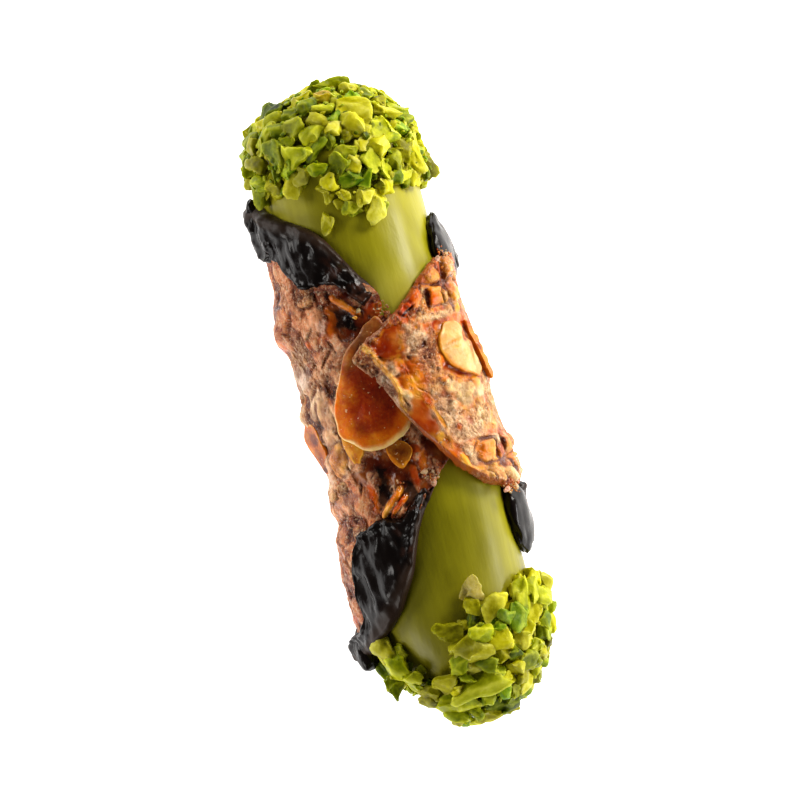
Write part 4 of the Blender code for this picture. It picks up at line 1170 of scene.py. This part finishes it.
def make_nuts(name, edge_knots, tip, heroes, seed, look, replaced, big, tries):
    """A heap of chopped pistachios: the pieces that stand out, a bed, a layer above it and crumbs on top.

    big scales the layer above the bed, and tries sets how many crumbs there are.
    """
    pile = Pile(seed)
    rng = pile.rng
    taken = []
    for x, y, length, width, heading, tone in heroes:
        thick = 0.85 * width * rng.uniform(0.8, 1.0)
        middle, normal = hero_place(x, y, tip, HEAP_DEPTH)
        turn = math.degrees(math.atan2(middle[0], middle[2] - AXIS_HEIGHT)) % 360
        inside = (y - float(spline(edge_knots, np.array([turn]))[0])) * math.copysign(1, tip)
        sunk = 0.55 * thick
        middle, normal = hero_place(x, y, tip, sunk + (HEAP_DEPTH - sunk) * float(smooth(0.0, 5.0, inside)))
        box = (length * BOX_SHARE, width * BOX_SHARE, thick * 1.2)
        pile.drop(LARGE, middle, box, normal, 16, TONES[tone], heading)
        taken.append((middle, 0.5 * width + 1.2))

    def draw(span):
        return rng.uniform(*span) if isinstance(span, tuple) else span

    def layer(places, steps, sizes, scale, wide, thick, lean, where_thin):
        """Random pieces at the places; where_thin is how large they are where the heap is thin, 0 for none."""
        for point, normal in zip(*places):
            if thin(point) and not where_thin:
                continue
            size = rng.uniform(*sizes) * scale * (where_thin if thin(point) else 1)
            tone = COMMON[rng.integers(len(COMMON))]
            pile.drop(steps, point, (size, size * draw(wide), size * draw(thick)), normal, lean, TONES[tone])

    def places(height, spacing, kept_clear, low, count=9000):
        return spread(rng, edge_knots, tip, height, spacing, kept_clear, low, count)

    layer(places(0.5, 2.6, [], 0.0), MEDIUM, (3.0, 4.6), 1, (0.65, 0.95), (0.55, 0.8), 40, 0.6)
    layer(places(2.0 / big**3, 2.9, taken, 0.06), MEDIUM, (4.2, 7.2), big, (0.6, 0.9), (0.5, 0.75), 35, 0)
    layer(places(2.9, 1.5, [], 0.08, tries), SMALL, (0.6, 1.9), 1, 0.8, 0.6, 60, 0)
    return pile.make(name, look, replaced)


# ---------------------------------------------------------------- almond slices

# The rings of a slice, as shares of its outline: closely spaced near its rim above, and fewer below.
SLICE_ROUND = 120
TOP_RINGS = (0.95, 0.92, 0.88, 0.84, 0.79, 0.73, 0.66, 0.58, 0.5, 0.41, 0.32, 0.22, 0.12, 0.03)
UNDER_RINGS = (0.3, 0.6, 0.85, 0.96)


def closed_curve(knots, count):
    """A smooth closed line through (x, y) knots."""
    knots = np.array(knots, float)
    n = len(knots)
    at = np.linspace(0, n, count, endpoint=False)
    i = np.floor(at).astype(int)
    t = (at - i)[:, None]
    p0, p1, p2, p3 = (knots[(i + k) % n] for k in (-1, 0, 1, 2))
    return 0.5 * (2 * p1 + (p2 - p0) * t + (2 * p0 - 5 * p1 + 4 * p2 - p3) * t**2 + (3 * p1 - p0 - 3 * p2 + p3) * t**3)


def at_level(places, level):
    """Flat places (x, y) with a third number added, for noise."""
    return np.stack([places[:, 0], places[:, 1], np.full(len(places), level)], -1)


def turn_at(x, y, sheet, above=0.6):
    """Where round the roll the crust is seen at (x, y) from above: on the upper flap, or on the sheet beneath it."""
    x, y = np.asarray(x, float), np.asarray(y, float)
    start = 360 if sheet else 0
    turn = np.zeros_like(x) + start
    for _ in range(12):
        radius = pastry_outside(turn, y) + above
        turn = start + np.degrees(np.arcsin(np.clip(x / radius, -0.995, 0.995)))
    return turn


def make_slice(
    name, outline, sheet, thickness, colours, rim_side, seed, look, replaced, tilt, float_by,
    stand=None, patches=None, marks=(),
):
    """A thin almond slice: rings that close in from its outline, over and under.

    colours are its rim's, its middle's, its far end's and the glow's beside the rim, which lies towards rim_side.
    stand is the height and the slope along X of a slice that stands away from the crust. patches is the colour of
    its stains, which also make its outline less even. marks are places on it: x, y, half width, half length, lean,
    colour, strength and height.
    """
    border = closed_curve(outline, SLICE_ROUND)
    middle = border.mean(0)
    uneven = (0.05 if patches else 0.025) * rough_noise(at_level(border, 0.0), 2.0, 2, seed)
    border = middle + (border - middle) * (1 + uneven)[:, None]
    rings = [(share, -0.5) for share in UNDER_RINGS]
    for angle in (-60, -30, 0, 30, 60):
        rings.append((0.96 + 0.04 * math.cos(math.radians(angle)), 0.5 * math.sin(math.radians(angle))))
    rings += [(share, 0.5) for share in TOP_RINGS]
    away = border - middle
    away /= np.linalg.norm(away, axis=1, keepdims=True)
    facing = np.clip(away @ np.array(rim_side), 0, 1)
    points, pale, glow, covers = [], [], [], []
    for share, side in rings:
        place = middle + (border - middle) * share
        uneven = wave_noise(at_level(place, 1.0 * seed), 1.1, seed + 6)
        reach = [np.hypot(*leaning(place[:, 0] - m[0], place[:, 1] - m[1], *m[2:5])) + 0.3 * uneven for m in marks]
        covers.append([np.clip(m[6] * smooth(1.4, 0.5, r), 0, 1) * (side > 0) for m, r in zip(marks, reach)])
        off = place - middle
        q = at_level(off, 3.0 * seed)
        rise = tilt[0] * off[:, 0] + tilt[1] * off[:, 1]
        rise = rise + 0.22 * rough_noise(q, 6.0, 2, seed) + 0.06 * wave_noise(q, 1.3, seed)
        top = float_by + thickness * (0.5 + side) + rise + (0.12 * (1 - share) if side > 0 else 0)
        top = top + sum(m[7] * bell(r, 0, 1) for m, r in zip(marks, reach)) * (side > 0)
        if stand:
            x, z = place[:, 0], stand[0] + stand[1] * off[:, 0]
            lean = math.hypot(1, stand[1])
            points.append(np.stack([x - top * stand[1] / lean, place[:, 1], z + top / lean], -1))
        else:
            turn = turn_at(place[:, 0], place[:, 1], sheet)
            points.append(on_roll(pastry_outside(turn, place[:, 1]) + top, turn, place[:, 1]))
        depth = (1 - share) * np.linalg.norm(border - middle, axis=1)
        width = 0.2 + 0.5 * facing * np.clip(0.9 + 0.9 * wave_noise(q, 4.0, seed + 4), 0.1, 1.5)
        skin = smooth(1.5, 0.6, depth / width + 0.2 * wave_noise(q, 2.0, seed + 9))
        pale.append(skin if side >= 0 else np.ones(len(place)))
        glow.append(smooth(5.2, 0.8, depth / (0.45 + 0.55 * facing)))
    points, faces = closed_tube(np.stack(points))
    pale, glow = np.concatenate([*pale, [1.0, 0.0]]), np.concatenate([*glow, [1.0, 0.0]])
    rim, centre, end, warm = (np.array(c) for c in colours)
    towards = (points[:, 1] - points[:, 1].mean()) / np.ptp(points[:, 1]) * 2
    mottle = 0.5 + 0.5 * rough_noise(points, 3.0, 3, seed + 5)
    colour = mix(centre, end, smooth(0.1, 0.9, towards + 0.35 * (mottle - 0.5)))
    far = smooth(0.25, 0.7, towards) if tilt[0] < 0 else np.zeros(len(points))
    colour = mix(colour, warm, 0.85 * glow * (1 - far))
    if patches:
        colour = mix(colour, patches, 0.9 * smooth(0.05, 0.55, rough_noise(points, 2.4, 3, seed + 8)) * (1 - pale))
    for k, mark in enumerate(marks):
        colour = mix(colour, mark[5], np.concatenate([*(ring[k] for ring in covers), [0, 0]]) * (1 - pale))
    colour = mix(colour * (0.7 + 0.5 * mottle[:, None]), mix(rim, end, 0.8 * far), pale)
    return make_piece(name, points, faces, look, replaced, colour, 0.9 - 0.3 * far)


# Outlines of the slices as seen from above: (x, y).
SEAM_OUTLINE = [
    (-7.3, 12.4), (-8.7, 10.2), (-9.8, 7.4), (-11.4, 4.2), (-12.3, 1.8), (-12.5, -1), (-12.2, -3.4), (-11, -5),
    (-9.2, -6.8), (-7.2, -7.8), (-5.2, -8), (-2.6, -7.3), (-0.4, -6), (1.4, -4.4), (3, -1), (3.6, 6), (2.6, 13),
    (1, 17.2), (-1.2, 17.4), (-3.2, 15.9), (-5.4, 14.1),
]
BELOW_OUTLINE = [
    (-4.6, -8.2), (-4.3, -9.8), (-3.5, -11.4), (-2.3, -12.6), (-1, -11.7), (0.1, -10.6), (0.6, -9.2), (-0.4, -7.6),
    (-2, -6.8), (-3.8, -6.9),
]
CRESCENT_OUTLINE = [
    (-12.5, -3.6), (-12.6, -5.6), (-12.2, -7.4), (-11.4, -9.2), (-10.5, -9.9), (-9.9, -8.6), (-9, -7.4), (-9.4, -5.2),
    (-10.8, -3.6),
]
FLAP_OUTLINE = [
    (12.4, 12.6), (11.6, 11), (11.1, 9), (11.3, 7), (12, 5.3), (13, 4), (14.6, 2.7), (16.2, 1.7), (17.1, 1.3),
    (17.8, 2.6), (18, 4.2), (17.8, 6.2), (17.4, 8), (16.8, 9.4), (16.6, 11), (16, 12.4), (15, 13.3), (13.6, 13.5),
]
EDGE_OUTLINE = [
    (16.9, 12.6), (17.6, 11.6), (17.8, 10.2), (18.4, 9.2), (18.3, 8), (18.8, 6.8), (18.7, 5.4), (19.2, 4.2),
    (19.1, 2.8), (19.6, 1.2), (19.4, -0.2), (19, 0.4), (18.7, 1.8), (18.3, 3.6), (18, 5.4), (17.7, 7.2), (17.2, 9),
    (16.8, 10.8),
]
SIDE_OUTLINE = [
    (-18.4, 1.2), (-17, 0.4), (-16.5, -2), (-16.1, -4.6), (-15.9, -7), (-16.2, -9.2), (-16.9, -9.8), (-17.5, -8),
    (-18.3, -5.8), (-19, -3.8), (-19.4, -1.9), (-19.1, -0.2),
]

# Stains on the slices, and on the seam slice one painted shadow: x, y, half width, half length, lean, colour,
# strength, height.
SEAM_STAINS_AND_SHADOW = [
    (-10.4, -1.8, 1.7, 4.4, -4, (0.8, 0.2, 0.003), 0.8, 0.05),
    (-8.4, 3.8, 1.5, 3.6, 24, (0.62, 0.12, 0.002), 0.7, 0.05),
    # The dark mark at (-2.6, 3) is painted shadow beside the upper flap.
    (-4.4, -5.8, 5, 1.3, 8, (0.78, 0.22, 0.004), 0.7, 0.05), (-2.6, 3, 2.6, 4.4, 0, (0.24, 0.022, 0.001), 0.8, -0.05),
    (-6.6, -1.6, 1.8, 1.6, 0, (0.46, 0.06, 0.001), 0.7, 0.1), (-3.4, 14.6, 1, 3.4, 52, (0.3, 0.11, 0.03), 0.8, 0.15),
    (-7, 10.4, 1, 2.4, 28, (0.42, 0.1, 0.006), 0.8, 0.1), (-5.2, 11.4, 0.7, 2.6, 40, (0.1, 0.02, 0.003), 0.9, -0.2),
]
PALE_STAINS = [
    (14, 11.4, 2.6, 1.9, 0, (0.68, 0.35, 0.11), 0.9, 0), (15, 5.6, 3.4, 3.9, -18, (0.66, 0.38, 0.13), 1.1, 0.1),
    (13.9, 9.2, 0.34, 1.8, 78, (0.58, 0.22, 0.012), 1.3, 0.35),
    (16.6, 10, 0.5, 1.2, 10, (0.34, 0.08, 0.004), 1.3, -0.45), (12.2, 7.4, 0.5, 1.3, 0, (0.62, 0.3, 0.07), 0.9, 0),
    (12.4, 11.8, 0.4, 0.8, 20, (0.84, 0.58, 0.26), 0.9, 0.1), (17.1, 6.6, 0.3, 2.4, 4, (0.6, 0.2, 0.01), 1.1, 0.1),
    (14.2, 8.1, 0.8, 0.3, 0, (0.66, 0.32, 0.05), 1, -0.1),
]


def make_slices(look):
    """The six almond slices."""
    yellow_rim = (0.90, 0.58, 0.21)
    # Name, outline, whether on the sheet, thickness, the rim's side, seed, node replaced, tilt and height above the
    # crust; then the colours of the rim, the middle, the far end and the glow; then what else differs.
    for row, colours, more in (
        (("almond_seam", SEAM_OUTLINE, True, 1.0, (0.1, -0.99), 3, ["almond_slice_seam"], (-0.01, 0.0), 0.1),
         (yellow_rim, (0.36, 0.036, 0.001), (0.34, 0.10, 0.012), (0.84, 0.20, 0.002)), {"marks": SEAM_STAINS_AND_SHADOW}),
        (("almond_below", BELOW_OUTLINE, True, 0.8, (-0.7, -0.7), 4, ["almond_slice_below"], (0.0, -0.02), -0.2),
         ((0.60, 0.21, 0.01), (0.16, 0.032, 0.001), (0.10, 0.015, 0.001), (0.34, 0.10, 0.004)), {}),
        (("almond_crescent", CRESCENT_OUTLINE, True, 0.7, (-1.0, -0.3), 5, [], (0.04, 0.0), -0.3),
         ((0.76, 0.36, 0.04), (0.54, 0.15, 0.004), (0.60, 0.22, 0.01), (0.70, 0.28, 0.01)), {}),
        (("almond_flap", FLAP_OUTLINE, False, 1.0, (-0.8, -0.6), 6, ["almond_slice_flap"], (0.01, -0.01), -0.4),
         ((0.60, 0.22, 0.01), (0.66, 0.38, 0.13), (0.66, 0.38, 0.12), (0.68, 0.40, 0.12)),
         {"patches": (0.56, 0.26, 0.06), "marks": PALE_STAINS}),
        (("almond_edge", EDGE_OUTLINE, False, 1.0, (1.0, 0.0), 7, [], (0.0, 0.0), -0.3),
         ((0.58, 0.18, 0.004), (0.56, 0.17, 0.004), (0.64, 0.24, 0.01), (0.60, 0.19, 0.004)),
         {"stand": (26.3, -1.6), "patches": (0.36, 0.08, 0.002)}),
        (("almond_side", SIDE_OUTLINE, True, 0.9, (-1.0, 0.0), 8, ["almond_slice_side"], (0.0, 0.0), -0.3),
         ((0.70, 0.22, 0.005), (0.34, 0.07, 0.002), (0.30, 0.06, 0.002), (0.60, 0.17, 0.004)),
         {"stand": (21.3, 1.9), "patches": (0.16, 0.024, 0.001)}),
    ):
        name, outline, sheet, thickness, rim_side, seed, replaced, tilt, float_by = row
        make_slice(name, outline, sheet, thickness, colours, rim_side, seed, look, replaced, tilt, float_by, **more)


# Bits of almond stuck in the crust: x, y, length, width, heading of the length, tone.
FLAP_BITS = [
    (17, -21.9, 2.4, 1.1, 10, "rose"), (19, -21.8, 2, 1, -30, "tan"), (15.4, 25.8, 1.8, 1, 30, "rose"),
    (17.2, 26.3, 1.6, 0.9, 0, "tan"),
]
SHEET_BITS = [
    (-2.8, 19.8, 1.2, 0.9, 50, "almond"), (1.8, -14.4, 1.6, 1.2, 0, "tan"), (3, -17, 1.4, 1, 30, "rose"),
    (-3.8, 18.6, 1, 0.8, 0, "amber"),
]
# Where the smallest crumbs are scattered: x, y, reach, count, whether on the sheet.
CRUMBS = [
    (2.6, -15.2, 1.5, 46, True), (1.4, 18.9, 1.3, 40, True), (17.9, -21.8, 1.5, 36, False),
    (16.4, 26, 1.4, 30, False), (7, -9, 1, 10, False), (-3.4, -15.4, 1, 8, True), (-4.4, 11.6, 1, 10, False),
]
BIT_TONES = {
    "amber": ((0.66, 0.22, 0.016), (0.82, 0.40, 0.05), (0.88, 0.58, 0.16)),
    "glaze": ((0.50, 0.10, 0.006), (0.68, 0.21, 0.016), (0.80, 0.40, 0.07)),
    "dark": ((0.34, 0.045, 0.003), (0.48, 0.10, 0.008), (0.66, 0.26, 0.04)),
    "almond": ((0.82, 0.50, 0.20), (0.88, 0.64, 0.32), (0.92, 0.74, 0.44)),
    "tan": ((0.58, 0.32, 0.15), (0.68, 0.43, 0.22), (0.76, 0.54, 0.32)),
    "rose": ((0.52, 0.23, 0.14), (0.62, 0.33, 0.21), (0.74, 0.48, 0.34)),
}


def make_bits(look):
    """Splinters of almond stuck in the crust, and scatterings of small crumbs."""
    pile = Pile(21, 0.55)
    rng = pile.rng

    def place_on(x, y, sheet, height):
        turn = float(turn_at(x, y, sheet, 0.3))
        return turn, on_roll(float(pastry_outside(np.array(turn), np.array(y))) + height, turn, y)

    for bits, sheet in ((FLAP_BITS, False), (SHEET_BITS, True)):
        for x, y, length, width, heading, tone in bits:
            turn, middle = place_on(x, y, sheet, -0.05)
            normal = (math.sin(math.radians(turn)), 0, math.cos(math.radians(turn)))
            size = (length * 1.1, width * 1.1, min(0.8 * width, 2.0))
            gloss = 0.85 if tone == "amber" else 0.35
            pile.drop(LARGE if length > 2 else MEDIUM, middle, size, normal, 8, BIT_TONES[tone], heading, gloss)
    for x, y, reach, count, sheet in CRUMBS:
        for _ in range(count):
            dx, dy = rng.normal(size=2) * reach * 0.55
            size = rng.uniform(0.25, 0.6)
            _, middle = place_on(x + dx, y + dy, sheet, 0.1)
            tone = ("rose", "tan", "dark", "glaze")[rng.integers(4)]
            pile.drop(SMALL, middle, (size, size * 0.8, size * 0.7), (0, 0, 1), 60, BIT_TONES[tone], None, 0.6)
    return pile.make("crust_almond_bits", look)


# ---------------------------------------------------------------- build

crust_material, almond_material = crust_look(), almond_look()
nut_material, chocolate_material = nut_look(), chocolate_look()
make_pastry(crust_material)
make_cream(cream_look())
make_chocolate("chocolate_coat_head", HEAD_RIM, HEAD_SKIRT, -1, 201, chocolate_material, ["chocolate_rim_head"])
make_chocolate("chocolate_coat_foot", FOOT_RIM, FOOT_SKIRT, 1, 301, chocolate_material, ["chocolate_rim_foot"])
make_drips("chocolate_drips_head", HEAD_DRIPS, 31, chocolate_material)
make_drips("chocolate_drips_foot", FOOT_DRIPS, 37, chocolate_material)
make_nuts("pistachios_head", HEAD_NUTS, HEAD_TIP, HEAD_HEROES, 5, nut_material, ["chopped_nuts_head"], 1.0, 1500)
make_nuts("pistachios_foot", FOOT_NUTS, FOOT_TIP, FOOT_HEROES, 9, nut_material, ["chopped_nuts_foot"], 0.85, 300)
make_slices(almond_material)
make_bits(almond_material)


# ---------------------------------------------------------------- studio


def make_studio():
    """A white floor, a faint white world, five softboxes in metres and watts, and the camera straight above."""
    scene = bpy.context.scene
    mesh = bpy.data.meshes.new("floor")
    mesh.from_pydata([(-3, -3, 0), (3, -3, 0), (3, 3, 0), (-3, 3, 0)], [], [(0, 1, 2, 3)])
    floor_look = Look(
        "floor", Base_Color=(0.9, 0.9, 0.9, 1), Roughness=0.9, Emission_Strength=1.3, Emission_Color=(1, 1, 1, 1)
    )
    mesh.materials.append(floor_look.material)
    floor = bpy.data.objects.new("floor", mesh)
    scene.collection.objects.link(floor)

    world = bpy.data.worlds.new("studio")
    world.use_nodes = True
    world.node_tree.nodes["Background"].inputs["Color"].default_value = (1.0, 1.0, 1.0, 1)
    world.node_tree.nodes["Background"].inputs["Strength"].default_value = 0.08
    scene.world = world

    def softbox(name, place, target, size, power, colour):
        light = bpy.data.lights.new(name, "AREA")
        light.shape, light.size, light.size_y, light.energy, light.color = "RECTANGLE", *size, power, colour
        lamp = bpy.data.objects.new(name, light)
        scene.collection.objects.link(lamp)
        lamp.location = place
        lamp.rotation_euler = (Vector(target) - Vector(place)).to_track_quat("-Z", "Y").to_euler()

    for name, azimuth, elevation, distance, size, power, colour in (
        ("key", 32, 20, 0.30, (0.12, 0.10), 1.12, (1.0, 0.96, 0.90)),
        ("right", -38, 18, 0.34, (0.16, 0.10), 0.41, (1.0, 0.97, 0.93)),
        ("left", 148, 20, 0.34, (0.16, 0.10), 0.52, (1.0, 0.97, 0.93)),
        ("low_left", 216, 18, 0.34, (0.16, 0.10), 0.42, (1.0, 0.97, 0.93)),
    ):
        a, e = math.radians(azimuth), math.radians(elevation)
        x, y, z = distance * math.cos(a) * math.cos(e), distance * math.sin(a) * math.cos(e), distance * math.sin(e)
        softbox(name, (x, y, 0.02 + z), (0.0, 0.0, 0.02), size, power, colour)
    softbox("strip", (0.28, -0.10, 0.065), (0.0, -0.03, 0.03), (0.08, 0.02), 0.26, (1.0, 1.0, 1.0))

    camera = bpy.data.objects.new("camera", bpy.data.cameras.new("camera"))
    scene.collection.objects.link(camera)
    camera.data.lens, camera.data.sensor_width = LENS, SENSOR
    camera.data.clip_start, camera.data.clip_end = 0.01, 20.0
    camera.location = (0.00071, 0.00066, AXIS_HEIGHT * MM + VIEW_WIDTH * LENS / SENSOR)
    camera.rotation_euler = (0.0, 0.0, math.radians(VIEW_TURN))
    scene.camera = camera
    scene.view_settings.view_transform = "Standard"


make_studio()
